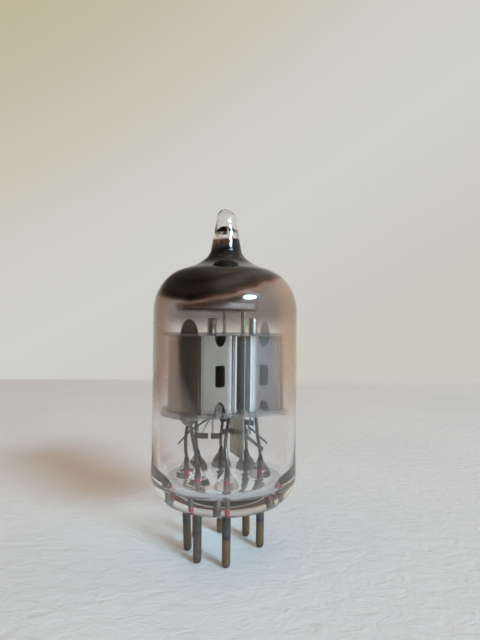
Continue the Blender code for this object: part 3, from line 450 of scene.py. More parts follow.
def make_glass_material():
    """Clear glass with bands of painted shade in the thick base, and a faint painted glow there in place of
    light gathered in it.

    The bells carry painted shade, grey in front and dark behind, the tip is uneven, and the lamp shines
    through it all.
    """
    look = new_look("clear_glass_finish")
    radius = look.vector("LENGTH", look.stretched(look.place, z=0.0))["Value"]
    streaks = look.noise(look.stretched(look.place, z=6.0), 500.0, detail=4.0, roughness=0.6)
    height = look.times(streaks, 0.0004, look.z)
    # Painted shade: grey and clear bands up the thick base stand in for what its refraction shows
    base = look.ramp(look.share(height, STEM_BOTTOM_Z, STEM_BOTTOM_Z + BASE_PAINTED_BANDS_HEIGHT),
                     [(0.07, (0.92, 0.92, 0.93)), (0.12, (0.44, 0.425, 0.45)), (0.40, (0.46, 0.445, 0.46)),
                      (0.48, (0.96, 0.96, 0.95)), (0.54, (0.78, 0.77, 0.74)), (0.62, (0.80, 0.79, 0.76)),
                      (0.70, (0.97, 0.97, 0.97))])
    bell_top = STEM_TOP_Z + BEAD_HEIGHT
    bell = look.times(look.span(look.z, *(STEM_TOP_Z + rise for rise in BELL_FOOT_FADE)),
                      look.span(look.z, bell_top + BELL_MOUTH_FADE, bell_top))
    # Painted shade in the bells: grey in front, dark behind
    bell_shade = look.mixed(look.span(look.y, *BELL_PAINTED_SHADE_Y), BELL_PAINTED_SHADE_FRONT, BELL_PAINTED_SHADE_BACK)
    inner = look.mixed(bell, (0.95, 0.95, 0.94), bell_shade)
    near = look.math("LESS_THAN", radius, FIELD_TOP_OUTER_RADIUS)
    above = look.math("GREATER_THAN", look.z, STEM_TOP_Z - 0.0001)
    thick = look.mixed(look.times(near, above), base, inner)
    thin = look.mixed(look.times(bell, near), WALL_TINT, inner)
    tint_and_painted_shade = look.mixed(look.span(height, *(STEM_BOTTOM_Z + rise for rise in BASE_PAINTED_BANDS_FADE)), thick, thin)
    # Painted glow: the base gives off a little light, though it is no lamp
    low = look.span(look.z, *(STEM_TOP_Z + rise for rise in BASE_PAINTED_GLOW_FADE))
    smears = look.noise(look.stretched(look.place, z=0.45), 210.0, detail=5.0, roughness=0.6)
    waves = look.noise(look.stretched(look.place, z=0.5), 260.0, detail=1.0)
    high = look.span(look.z, *(SHOULDER_Z + rise for rise in TIP_LUMPS_FADE))
    lumps = look.times(high, look.noise(look.place, 900.0, detail=1.0))
    look.finish(IOR=GLASS_IOR, Transmission_Weight=1.0, Base_Color=tint_and_painted_shade,
                Emission_Color=look.mixed(low, (0.0, 0.0, 0.0), BASE_PAINTED_GLOW), Emission_Strength=1.0,
                Roughness=look.ramp(smears, [(0.50, 0.0), (0.75, 0.022)]),
                Normal=look.bump(look.times(lumps, TIP_LUMPS, waves), 0.00002, 0.35))
    clear = look.node("ShaderNodeBsdfTransparent", Color=(0.93, 0.93, 0.92)).outputs[0]
    both = look.node("ShaderNodeMixShader", i0=look.light("Is Shadow Ray"),
                     i1=look.tree.nodes["Principled BSDF"].outputs[0], i2=clear)
    look.feed(look.tree.nodes["Material Output"], Surface=both.outputs[0])
    return look.owner


def film_bands_and_painted_reflections(look, across, height, streaks):
    """Colour of the mirror's outside: brown bands where it thins at its lower edge, grey, mauve and orange
    bands that are painted reflections of the room, black above, and a painted reflection of the room's dark
    side that darkens it to the left.
    """
    bands = look.share(look.times(streaks, 0.0012, height), -FILM_EDGE_BELOW, FILM_BANDS_RISE)
    dark = look.ramp(bands, [(0.0, (0.50, 0.22, 0.10)), (0.14, (0.16, 0.070, 0.036)),
                             (0.22, (0.040, 0.024, 0.016)), (0.30, (0.110, 0.080, 0.075)),
                             (0.38, (0.080, 0.060, 0.055)), (0.44, (0.016, 0.011, 0.008)),
                             (0.50, (0.100, 0.048, 0.024)), (0.56, (0.060, 0.058, 0.052)),
                             (0.70, (0.055, 0.055, 0.050)), (0.82, (0.010, 0.010, 0.009)),
                             (1.0, (0.003, 0.003, 0.003))])
    # Painted reflection of the room's dark side: the mirror darkens to the left
    return look.mixed(1.0, dark, look.ramp(across, [(0.05, 0.42), (0.40, 0.95), (0.70, 1.1)]), "MULTIPLY")


def make_film_material():
    """The getter's mirror: dark outside with painted reflections of the room, silver inside, brown where it
    thins, with a tan haze below.
    """
    look = new_look("getter_mirror_finish")
    outside = look.math("GREATER_THAN", look.dot(look.normal, look.stretched(look.place, z=0.0)))
    drift = look.noise(look.stretched(look.place, z=2.2), 130.0, detail=4.0, distortion=0.6)
    drift = look.math("SUBTRACT", drift, 0.5)
    streaks = look.math("SUBTRACT", look.noise(look.stretched(look.place, 0.35, 0.35, 3.0), 420.0), 0.5)
    across = look.share(look.x, -BULB_RADIUS, BULB_RADIUS)
    edge = look.ramp(across, [(0.05, 0.17), (0.30, 0.0), (0.50, 0.18), (0.69, 0.39), (0.80, 0.58),
                              (0.91, 0.85), (1.0, 1.0)])
    bottom = look.times(edge, FILM_EDGE_RISE, FILM_EDGE_Z)
    height = look.times(drift, FILM_DRIFT, look.math("SUBTRACT", look.z, bottom))
    below_top = look.math("SUBTRACT", FILM_TOP_Z, look.times(drift, FILM_DRIFT, look.z))
    closed = look.span(below_top, *FILM_TOP_FADE)
    residue = look.times(look.span(look.z, *RESIDUE_Z),
                         look.span(look.times(drift, 0.002, look.x), *RESIDUE_X))
    thinned = look.math("MINIMUM", look.span(height, -FILM_EDGE_BELOW, FILM_EDGE_ABOVE), closed)
    cover = look.math("MAXIMUM", thinned, residue)
    solid = look.span(cover, 0.25, 0.75)

    in_neck = look.times(look.span(below_top, *NECK_STAIN_BELOW_TOP), look.span(look.x, *NECK_STAIN_X))
    stain = look.times(in_neck, closed)
    spots = look.ramp(look.noise(look.place, 800.0, roughness=0.5, distortion=0.5),
                      [(0.44, (0.012, 0.006, 0.004)), (0.56, (0.09, 0.032, 0.013)),
                       (0.72, (0.45, 0.140, 0.045))])
    dark = look.mixed(stain, film_bands_and_painted_reflections(look, across, height, streaks), spots)
    metal = look.mixed(outside, (0.72, 0.70, 0.68), dark)
    upper = look.span(look.z, *UPPER_HAZE_Z)
    tan = look.ramp(across, [(0.1, (0.66, 0.33, 0.22)), (0.8, (0.54, 0.27, 0.14))])
    tan = look.mixed(upper, tan, look.mixed(1.0, tan, (0.66, 0.62, 0.70), "MULTIPLY"))

    edge_on = look.node("ShaderNodeLayerWeight", Blend=0.35).outputs["Facing"]
    side = look.times(look.span(look.z, *SIDE_HAZE_Z),
                      look.math("MAXIMUM", look.times(edge_on, 4.4, -0.38), 0.0))
    behind = look.times(look.span(look.y, *UPPER_HAZE_Y), 0.50, 0.06)
    haze = look.math("MINIMUM", look.math("MAXIMUM", side, look.times(upper, behind)), 0.5)
    haze = look.times(look.times(haze, look.times(drift, 0.5, 1.0)), closed)
    opaque = look.times(cover, look.times(stain, -0.16, 0.995))
    return look.finish(Base_Color=look.mixed(solid, tan, metal), Roughness=0.10,
                       Metallic=look.times(solid, look.math("SUBTRACT", 1.0, stain)),
                       Alpha=look.math("MAXIMUM", opaque, haze))


def metal_material(name, colour, worn, roughness, metallic=1.0, grain=1.0, scale=900.0, dents=0.000006):
    """Metal whose colour and gloss drift, with fine grain; a grain below 1 draws it out upwards."""
    look = new_look(name)
    blotches = look.noise(look.place, scale * 0.6, detail=5.0, roughness=0.62)
    lines = look.noise(look.stretched(look.place, z=grain), scale * 2.2, roughness=0.6)
    tone = look.mixed(look.ramp(blotches, [(0.35, 0.0), (0.70, 1.0)]), colour, worn)
    tone = look.mixed(0.35, tone, look.ramp(lines, [(0.3, 0.55), (0.7, 1.0)]), "MULTIPLY")
    low, high = roughness
    return look.finish(Base_Color=tone, Roughness=look.ramp(lines, [(0.25, low), (0.75, high)]),
                       Metallic=metallic, Normal=look.bump(lines, dents, 0.6))


def make_anode_material(name, colour, inside, cathode):
    """Smooth grey sheet, cloudy, with a painted sheen near the gap; the side towards its cathode has a
    painted tone of its own, given as inside.
    """
    look = new_look(name)
    low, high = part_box(cathode)
    from_centre = look.vector("SUBTRACT", look.place, (low + high) / 2.0)["Vector"]
    outwards = look.dot(look.normal, look.stretched(from_centre, z=0.0))
    clouds = look.noise(look.stretched(look.place, z=0.5), 260.0, detail=4.0, roughness=0.5)
    lines = look.noise(look.stretched(look.place, z=0.1), 2600.0, detail=2.0)
    faded = [channel * 0.82 for channel in colour]
    tone = look.mixed(look.ramp(clouds, [(0.35, 0.0), (0.70, 1.0)]), colour, faded)
    # Painted sheen: the sheet is lighter near the gap beside the shield
    along = Vector((math.cos(ELECTRODE_TURN), math.sin(ELECTRODE_TURN), 0.0))
    from_shield = look.math("SUBTRACT", look.dot(look.place, along), SHIELD_OFFSET)
    painted_sheen = look.span(look.math("ABSOLUTE", from_shield), *PAINTED_SHEEN_FROM_SHIELD)
    tone = look.mixed(painted_sheen, tone, PAINTED_SHEEN_TONE)
    # The side towards the cathode takes the inside colour: painted shade on the left anode, painted light on
    # the right
    tone = look.mixed(look.math("GREATER_THAN", outwards), inside, tone)
    return look.finish(Base_Color=tone, Roughness=look.ramp(lines, [(0.25, 0.15), (0.75, 0.22)]),
                       Metallic=look.ramp(outwards, [(0.0, 0.15), (0.00001, 1.0)]),
                       Normal=look.bump(clouds, 0.00006, 0.4))


def make_dish_material():
    """Nickel, dark brown to the left, with a painted highlight to the right and painted shade underneath."""
    look = new_look("getter_dish_finish")
    stains = look.noise(look.place, 500.0, detail=4.0, roughness=0.6)
    middle = GETTER_SHIELD_X + DISH_TONE_SHIFT
    share = look.share(look.times(stains, 0.002, look.x), middle - GETTER_SHIELD_RADIUS,
                       middle + GETTER_SHIELD_RADIUS)
    # Dark brown to the left, then a painted highlight to the right
    tone = look.ramp(share, [(0.0, (0.060, 0.038, 0.032)), (0.40, (0.09, 0.060, 0.054)),
                             (0.72, (0.42, 0.40, 0.41)), (0.90, (0.50, 0.50, 0.52)),
                             (1.0, (0.22, 0.21, 0.20))])
    # Painted shade underneath
    upwards = look.node("ShaderNodeSeparateXYZ", Vector=look.normal).outputs["Z"]
    tone = look.mixed(look.span(upwards, -0.35, -0.75), tone, (0.020, 0.018, 0.016))
    return look.finish(Base_Color=tone, Roughness=look.ramp(stains, [(0.3, 0.22), (0.7, 0.40)]),
                       Metallic=0.9, Normal=look.bump(stains, 0.00002, 0.4))


def make_pin_material():
    """Pins darkened by the sealing heat: grey above, a violet line, dull brown below."""
    look = new_look("pin_metal_finish")
    blotches = look.noise(look.place, 1500.0, detail=5.0, roughness=0.65)
    scratches = look.noise(look.stretched(look.place, z=0.12), 5200.0, detail=2.0)
    share = look.share(look.times(blotches, 0.0006, look.z), 0.0, PIN_STAIN_TOP_Z)
    tone = look.ramp(share, [(0.0, (0.110, 0.080, 0.055)), (0.12, (0.215, 0.140, 0.088)),
                             (0.50, (0.250, 0.155, 0.088)), (0.57, (0.085, 0.066, 0.100)),
                             (0.64, (0.130, 0.130, 0.118)), (0.92, (0.080, 0.075, 0.072))])
    left = look.times(look.span(look.x, *PIN_GREY_X), 0.75)
    tone = look.mixed(left, tone, (0.150, 0.125, 0.100))
    tone = look.mixed(0.8, tone, look.ramp(blotches, [(0.35, 0.62), (0.70, 1.0)]), "MULTIPLY")
    return look.finish(Base_Color=tone, Roughness=look.ramp(blotches, [(0.3, 0.34), (0.7, 0.62)]),
                       Metallic=0.65, Normal=look.bump(scratches, 0.00001, 0.7))


def make_seal_material():
    """Copper oxide, red all along: clear red at the pin and at the foot of the bell, while painted shade
    greys it along the rest and browns it at the back.
    """
    look = new_look("red_seal_finish")
    mottle = look.noise(look.place, 2600.0, detail=4.0)
    red = look.ramp(mottle, [(0.3, (0.30, 0.016, 0.030)), (0.7, (0.56, 0.05, 0.075))])
    # Painted shade browns the red at the back, where it is seen through the dark back bells
    red = look.mixed(look.span(look.y, *SEAL_PAINTED_SHADE_Y), red, (0.16, 0.045, 0.035))
    # Painted shade greys the wire in bands where the glass hides it; the oxide itself is red all along
    share = look.share(look.times(mottle, 0.0006, look.z), *SEAL_PAINTED_SHADE_Z)
    grey = look.ramp(share, [(0.31, 1.0), (0.34, 0.0), (0.44, 0.0), (0.47, 1.0),
                             (0.72, 1.0), (0.75, 0.0), (0.85, 0.0), (0.88, 1.0)])
    tone = look.mixed(grey, red, (0.15, 0.11, 0.09))
    return look.finish(Base_Color=tone, Roughness=look.ramp(mottle, [(0.3, 0.25), (0.7, 0.5)]), Metallic=0.25)


def make_mica_material():
    """Split mica: brown, half clear, with cloudy layers that glint."""
    look = new_look("mica_finish")
    clouds = look.noise(look.place, 700.0, detail=5.0, roughness=0.65, distortion=0.8)
    flakes = look.node("ShaderNodeTexVoronoi", Vector=look.place, Scale=1300.0).outputs["Distance"]
    tone = look.ramp(clouds, [(0.30, (0.17, 0.125, 0.110)), (0.70, (0.30, 0.235, 0.215))])
    return look.finish(Base_Color=tone, Alpha=look.ramp(clouds, [(0.3, 0.38), (0.7, 0.56)]),
                       Roughness=look.ramp(flakes, [(0.1, 0.25), (0.8, 0.50)]), Specular_IOR_Level=0.2,
                       Normal=look.bump(flakes, 0.00001, 0.2))


def make_coating_material():
    """The chalky white coat baked on the heater wire."""
    look = new_look("heater_coating_finish")
    grains = look.noise(look.place, 9000.0, roughness=0.7)
    tone = look.ramp(grains, [(0.3, (0.62, 0.60, 0.57)), (0.7, (0.84, 0.83, 0.80))])
    return look.finish(Base_Color=tone, Roughness=0.9, Normal=look.bump(grains, 0.00001, 0.8))


# Glass


def outer_profile():
    """Outside of the bulb from the tip down to the stem's flat underside."""
    shoulder_centre = (BULB_RADIUS - SHOULDER_WIDTH, SHOULDER_Z)
    shoulder = ellipse(shoulder_centre, SHOULDER_WIDTH, SHOULDER_RISE, SHOULDER_TURN, 0.0)
    neck = (NECK_RADIUS, TIP_Z - NECK_BELOW_TIP)
    neck_sweep = (NECK_SWEEP_RADIUS, TIP_Z - NECK_SWEEP_BELOW_TIP)
    skirt_radius = BULB_RADIUS + SKIRT_FLARE
    skirt_z = STEM_BOTTOM_Z + SKIRT_MIDDLE_HEIGHT
    seam_z = STEM_BOTTOM_Z + STEM_EDGE_HEIGHT
    skirt_reach = (skirt_radius - SEAM_RADIUS) / (1.0 - math.cos(SKIRT_TURN))
    skirt_drop = (skirt_z - seam_z) / math.sin(SKIRT_TURN)
    edge_top = (SEAM_RADIUS, seam_z - SEAM_GROOVE)
    bulge_in, bulge_up = STEM_EDGE_BULGE
    edge_middle = (SEAM_RADIUS - STEM_EDGE_WIDTH * bulge_in, STEM_BOTTOM_Z + STEM_EDGE_HEIGHT * bulge_up)

    profile = ellipse((0.0, TIP_Z - TIP_CROWN), TIP_RADIUS, TIP_CROWN, QUARTER, 0.0)
    profile += sweep(neck, neck_sweep, shoulder[0])
    profile += shoulder[1:]
    wall_top, wall_bottom = SHOULDER_Z, STEM_BOTTOM_Z + SKIRT_TOP_HEIGHT
    profile += [(BULB_RADIUS, wall_top + (wall_bottom - wall_top) * share) for share in (0.25, 0.5, 0.75)]
    flare_top = (BULB_RADIUS, wall_bottom)
    flare_middle = (BULB_RADIUS, (wall_bottom + skirt_z) / 2.0)
    profile += sweep(flare_top, flare_middle, (skirt_radius, skirt_z), 5)[:-1]
    profile += ellipse((skirt_radius - skirt_reach, skirt_z), skirt_reach, skirt_drop, 0.0, -SKIRT_TURN)
    profile.append((SEAM_RADIUS - SEAM_GROOVE, seam_z))
    profile += sweep(edge_top, edge_middle, (FIELD_BELOW_OUTER_RADIUS, STEM_BOTTOM_Z))
    return profile


def stem_top_height(radius):
    """Height of the stem's top at a radius: flat, then the fillet up to the wall."""
    if radius <= CAVITY_FILLET_RADIUS:
        return STEM_TOP_Z
    share = min((radius - CAVITY_FILLET_RADIUS) / (BULB_BORE - CAVITY_FILLET_RADIUS), 1.0)
    return CAVITY_RIM_Z - CAVITY_FILLET_HEIGHT * math.sqrt(1.0 - share**2)


def wall_profile(offset=0.0):
    """The bore from the rim of the fillet up to the sealed tip; offset draws it inwards."""
    bore = BULB_BORE - offset
    shoulder_centre = (BULB_RADIUS - SHOULDER_WIDTH, SHOULDER_Z)
    inner_shoulder = ellipse(shoulder_centre, SHOULDER_WIDTH - BULB_WALL - offset,
                             SHOULDER_RISE - BULB_WALL - offset, 0.0, SHOULDER_TURN)
    neck_wall = NECK_RADIUS - NECK_BORE_RADIUS
    bore_sweep = (NECK_SWEEP_RADIUS - neck_wall - offset, TIP_Z - NECK_SWEEP_BELOW_TIP - BULB_WALL)
    neck_bore = (NECK_BORE_RADIUS - offset, TIP_Z - NECK_BORE_BELOW_TIP)
    profile = inner_shoulder
    profile += sweep(inner_shoulder[-1], bore_sweep, neck_bore)[1:]
    profile += ellipse((0.0, TIP_Z - TIP_BORE_BELOW_TIP), TIP_BORE_RADIUS - offset,
                       TIP_BORE_CROWN - offset, 0.0, QUARTER)
    return bore, profile


def cavity_profile():
    """The whole inside of the bulb, from the outer edge of the bead field to the tip."""
    width = BULB_BORE - CAVITY_FILLET_RADIUS
    profile = [(FIELD_TOP_OUTER_RADIUS, STEM_TOP_Z)]
    profile += ellipse((CAVITY_FILLET_RADIUS, CAVITY_RIM_Z), width, CAVITY_FILLET_HEIGHT, -QUARTER, 0.0)
    bore, upper = wall_profile()
    wall = SHOULDER_Z - CAVITY_RIM_Z
    profile += [(bore, CAVITY_RIM_Z + wall * share) for share in (0.25, 0.5, 0.75)]
    return profile + upper


def sector_outline(middle, inner, outer):
    """Points round one eighth of a ring, the outer arc first."""
    half = math.pi / PIN_PLACES
    start, end = middle - half, middle + half
    points = []
    for step in range(ARC_SEGMENTS):
        points.append(polar(outer, start + (end - start) * step / ARC_SEGMENTS))
    for step in range(SIDE_SEGMENTS):
        points.append(polar(outer + (inner - outer) * step / SIDE_SEGMENTS, end))
    for step in range(ARC_SEGMENTS):
        points.append(polar(inner, end + (start - end) * step / ARC_SEGMENTS))
    for step in range(SIDE_SEGMENTS):
        points.append(polar(inner + (outer - inner) * step / SIDE_SEGMENTS, start))
    return points


def add_field(shape, rings, outer, height_at):
    """A ring of eight places, each but the empty one with a form round its pin, and the disc within."""
    for place in range(PIN_PLACES):
        middle = EMPTY_PLACE_ANGLE + math.tau * place / PIN_PLACES
        centre = polar(PIN_CIRCLE_RADIUS, middle)
        outline = sector_outline(middle, FIELD_INNER_RADIUS, outer)
        ways = [(point - centre).normalized() for point in outline]
        rows = []
        for radius, lift in rings:
            row = [centre + way * radius for way in ways]
            for point in row:
                point.z = height_at(point.xy.length) + (lift if place else 0.0)
            rows.append(row)
        pole = centre.copy()
        pole.z = height_at(PIN_CIRCLE_RADIUS) + (rings[0][1] if place else 0.0)
        rows = [[pole]] + rows
        foot = rows[-1]
        for share in (0.4, 0.7, 1.0):
            row = [near.lerp(far, share) for near, far in zip(foot, outline)]
            for point in row:
                point.z = height_at(point.xy.length)
            rows.append(row)
        shape.grid(rows)
    disc = [(FIELD_INNER_RADIUS * share, height_at(0.0)) for share in (1.0, 0.66, 0.33)]
    shape.turned(disc + [(0.0, height_at(0.0))])


def bead_rings():
    """The bell of glass round a lead, from its mouth down to its foot."""
    mouth = (BEAD_MOUTH_RADIUS, BEAD_HEIGHT)
    waist = (BEAD_WAIST_RADIUS, BEAD_WAIST_HEIGHT)
    upper = sweep(mouth, (BEAD_MOUTH_RADIUS + 0.0001, BEAD_WAIST_HEIGHT + 0.0004), waist, 6)
    lower = sweep(waist, (BEAD_RADIUS, BEAD_WAIST_HEIGHT * 0.52), (BEAD_RADIUS, BEAD_FOOT_HEIGHT), 9)
    foot = sweep(lower[-1], (BEAD_RADIUS + 0.00001, 0.0), (BEAD_FOOT_RADIUS, 0.0), 3)
    return upper + lower[1:] + foot[1:]


def make_glass(material):
    """Bulb and stem as the one fused piece that they are, with the cavity's wall inside."""
    outside = Shape()
    outside.turned(outer_profile())
    for vertex in outside.vertices:
        crown = max((vertex.z - TIP_Z + TIP_CROWN) / TIP_CROWN, 0.0)
        vertex.x -= TIP_LEAN * crown**2
    boss = sweep((PIN_RADIUS, -BOSS_HEIGHT), (PIN_RADIUS + BOSS_FLARE, 0.0), (BOSS_RADIUS, 0.0), 5)
    add_field(outside, boss, FIELD_BELOW_OUTER_RADIUS, lambda radius: STEM_BOTTOM_Z)
    inside = Shape()
    inside.turned(cavity_profile())
    add_field(inside, bead_rings(), FIELD_TOP_OUTER_RADIUS, stem_top_height)
    shape = bmesh.new()
    shape.from_mesh(outside.mesh("glass_outside"))
    shape.from_mesh(inside.mesh("glass_inside", inwards=True))
    mesh = bpy.data.meshes.new("glass")
    shape.to_mesh(mesh)
    shape.free()
    smooth(mesh, math.radians(60))
    return piece("glass_envelope", mesh, material, ("glass_bulb", "glass_stem"))


def make_film(material):
    """The thin film that clings to the inside of the bulb, as a shell just under the glass."""
    shell = []
    for offset in (-FILM_DEPTH, FILM_THICKNESS - FILM_DEPTH):
        bore, upper = wall_profile(offset)
        rise = (SHOULDER_Z - FILM_BOTTOM_Z) / FILM_STEPS
        shell.append([(bore, FILM_BOTTOM_Z + rise * i) for i in range(FILM_STEPS)] + upper)
    shape = Shape()
    shape.turned(shell[0])
    shape.turned(shell[1])
    shape.turned([shell[0][0], shell[1][0]])
    return piece("getter_mirror", shape.mesh("getter_mirror"), material)


# Pins, wires and electrodes


def make_pins(material):
    """Round pins with bullet tips, one of them bent inwards below the glass."""
    for number in range(1, PIN_COUNT + 1):
        inwards = -pin_place(number, 0.0).normalized()
        bend = BENT_PIN_SHIFT if number == BENT_PIN else 0.0
        tip = sweep((PIN_RADIUS, PIN_TIP_HEIGHT), (PIN_RADIUS, 0.0), (PIN_TIP_FLAT, 0.0), 8)
        drop = (PIN_TIP_HEIGHT - PIN_TOP_Z) / PIN_STEPS
        stations = [(0.0, PIN_TOP_Z)] + [(PIN_RADIUS, PIN_TOP_Z + drop * i) for i in range(PIN_STEPS)]
        stations += tip + [(0.0, 0.0)]
        rows = []
        for radius, z in stations:
            share = min(max((STEM_BOTTOM_Z - z) / STEM_BOTTOM_Z * BENT_PIN_GROWTH, 0.0), 1.0)
            middle = pin_place(number, z) + inwards * bend * share
            around = 1 if radius == 0.0 else AROUND_PIN
            rows.append([middle + polar(radius, math.tau * i / around) for i in range(around)])
        shape = Shape()
        shape.grid(rows)
        piece(f"pin_{number}_post", shape.mesh("pin"), material, (f"pin_{number}",))


def dressed(node_name, material, suffix, bevel=0.0, angle=50.0):
    """A welded, smoothly shaded copy of a CAD node that stands for it."""
    shape = bmesh.new()
    shape.from_mesh(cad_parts[node_name].data)
    bmesh.ops.remove_doubles(shape, verts=shape.verts, dist=WELD_DISTANCE)
    bmesh.ops.dissolve_limit(shape, angle_limit=math.radians(1), verts=shape.verts, edges=shape.edges)
    bmesh.ops.recalc_face_normals(shape, faces=shape.faces)
    mesh = bpy.data.meshes.new(node_name)
    shape.to_mesh(mesh)
    shape.free()
    smooth(mesh, math.radians(angle))
    item = piece(f"{node_name}_{suffix}", mesh, material, (node_name,))
    if bevel:
        edges = item.modifiers.new("edges", "BEVEL")
        edges.width = bevel
        edges.segments = 2
        edges.limit_method = "ANGLE"
        edges.angle_limit = math.radians(40)
        edges.harden_normals = True
    return item


def tongue_columns(centre, width, wall, drop, rise):
    """Columns over an arched tongue or, where drop and rise are below zero, an arched notch."""
    columns = []
    for step in range(FINE_STEPS + 1):
        angle = math.pi * step / FINE_STEPS
        x = -centre + width / 2.0 * math.cos(angle)
        columns.append((x, wall, drop * math.sin(angle), rise * math.sin(angle)))
    return columns


def rib_columns(centre, wall, lift):
    """Columns over a rounded upright rib pressed into a wall."""
    columns = []
    for step in range(FINE_STEPS + 1):
        angle = math.pi * step / FINE_STEPS
        x = -centre + RIB_REACH * math.cos(angle)
        columns.append((x, wall + lift * math.sin(angle) ** RIB_FULLNESS, 0.0, 0.0))
    return columns


def anode_wall(side, has_tongue):
    """Columns from the gap out to the fold; each is (x, y, drop below, rise above)."""
    wall = side * ANODE_HALF_DEPTH
    columns = rib_columns(ANODE_GAP + RIB_WIDTH / 2.0, wall, side * RIB_HEIGHT)[FINE_STEPS // 2 - 1:]
    if has_tongue:
        columns += tongue_columns(TONGUE_CENTRE, TONGUE_WIDTH, wall, TONGUE_DROP, 0.0)
    columns += tongue_columns(WINDOW_CENTRE, NOTCH_WIDTH, wall, -NOTCH_DEPTH, -NOTCH_DEPTH)
    columns += rib_columns(ANODE_FOLD, wall, side * RIB_HEIGHT)
    return columns


def anode_end(reach):
    """Columns round the end, an arc whose front corner carries an arched tongue up and down."""
    bulge = reach - ANODE_FOLD - RIB_REACH
    radius = (ANODE_HALF_DEPTH**2 + bulge**2) / (2.0 * bulge)
    half_angle = math.atan2(ANODE_HALF_DEPTH, radius - bulge)
    turns = [math.pi * step / TONGUE_STEPS for step in range(1, TONGUE_STEPS + 1)]
    places = [(END_TONGUE_WIDTH / 2.0 * (1.0 - math.cos(turn)), abs(math.sin(turn))) for turn in turns]
    rest = 2.0 * half_angle * radius - END_TONGUE_WIDTH
    places += [(END_TONGUE_WIDTH + rest * step / END_STEPS, 0.0) for step in range(1, END_STEPS)]
    columns = []
    for distance, share in places:
        angle = half_angle - distance / radius
        columns.append((radius - reach - radius * math.cos(angle), -radius * math.sin(angle),
                        TONGUE_DROP * share, END_TONGUE_RISE * share))
    return columns


def window_cutter(name):
    """A block with rounded upright corners that cuts a window through front and back."""
    depth = ANODE_HALF_DEPTH + 2.0 * RIB_HEIGHT
    middle = Vector((-WINDOW_CENTRE, 0.0, WINDOW_ABOVE_EDGE + WINDOW_HEIGHT / 2.0))
    size = Vector((WINDOW_WIDTH, 2.0 * depth, WINDOW_HEIGHT))
    shape = bmesh.new()
    bmesh.ops.create_cube(shape, size=1.0, matrix=Matrix.LocRotScale(middle, None, size))
    corners = [e for e in shape.edges if abs(e.verts[0].co.y - e.verts[1].co.y) > depth]
    bmesh.ops.bevel(shape, geom=corners, offset=WINDOW_CORNER, segments=6, profile=0.5, affect="EDGES")
    mesh = bpy.data.meshes.new(name)
    shape.to_mesh(mesh)
    shape.free()
    cutter = bpy.data.objects.new(name, mesh)
    bpy.context.scene.collection.objects.link(cutter)
    return cutter


def make_anode(name, side, material):
    """One folded sheet with ribs, notches, tongues and a window in its front and back."""
    reach = ANODE_AXIS_REACH - side * SHIELD_OFFSET
    columns = anode_wall(-1, True) + anode_end(reach) + anode_wall(1, False)[::-1]
    low = [Vector((x, y, -drop)) for x, y, drop, rise in columns]
    high = [Vector((x, y, ANODE_HEIGHT + rise)) for x, y, drop, rise in columns]
    shape = Shape()
    shape.grid([low, high])
    sheet = bpy.data.objects.new(name, shape.mesh(name))
    bpy.context.scene.collection.objects.link(sheet)
    thickness = sheet.modifiers.new("sheet", "SOLIDIFY")
    thickness.thickness = ANODE_SHEET
    thickness.offset = 0.0
    thickness.use_even_offset = True
    cutter = window_cutter(f"{name}_windows")
    cut = sheet.modifiers.new("windows", "BOOLEAN")
    cut.object = cutter
    cut.solver = "EXACT"
    edges = sheet.modifiers.new("edges", "BEVEL")
    edges.width = SHEET_EDGE_ROUND
    edges.segments = 2
    edges.limit_method = "ANGLE"
    edges.angle_limit = math.radians(50)
    edges.harden_normals = True
    bpy.context.view_layer.update()
    made = bpy.data.meshes.new_from_object(sheet.evaluated_get(bpy.context.evaluated_depsgraph_get()))
    bpy.data.objects.remove(cutter)
    bpy.data.objects.remove(sheet)
    half_turn = math.pi if side > 0 else 0.0
    to_tube = (Matrix.Rotation(ELECTRODE_TURN, 4, "Z")
               @ Matrix.Translation((SHIELD_OFFSET, 0.0, ANODE_BOTTOM_Z))
               @ Matrix.Rotation(half_turn, 4, "Z"))
    made.transform(to_tube)
    return piece(f"{name}_sheet", made, material, (name,))


def make_cathode(name, material):
    """A drawn sleeve with a rolled mouth."""
    low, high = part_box(name)
    bore = CATHODE_RADIUS - CATHODE_WALL
    lip = CATHODE_WALL / 2.0
    middle = CATHODE_RADIUS - lip
    profile = [(CATHODE_RADIUS, low.z + lip), (CATHODE_RADIUS, high.z - lip)]
    profile += ellipse((middle, high.z - lip), lip, lip, 0.0, math.pi, 6)[1:]
    profile += [(bore, low.z + lip)]
    profile += ellipse((middle, low.z + lip), lip, lip, math.pi, math.tau, 6)[1:-1]
    shape = Shape()
    shape.turned(profile, AROUND_SLEEVE, closed=True)
    mesh = shape.mesh(name)
    mesh.transform(Matrix.Translation(((low.x + high.x) / 2.0, (low.y + high.y) / 2.0, 0.0)))
    return piece(f"{name}_sleeve", mesh, material, (name,))


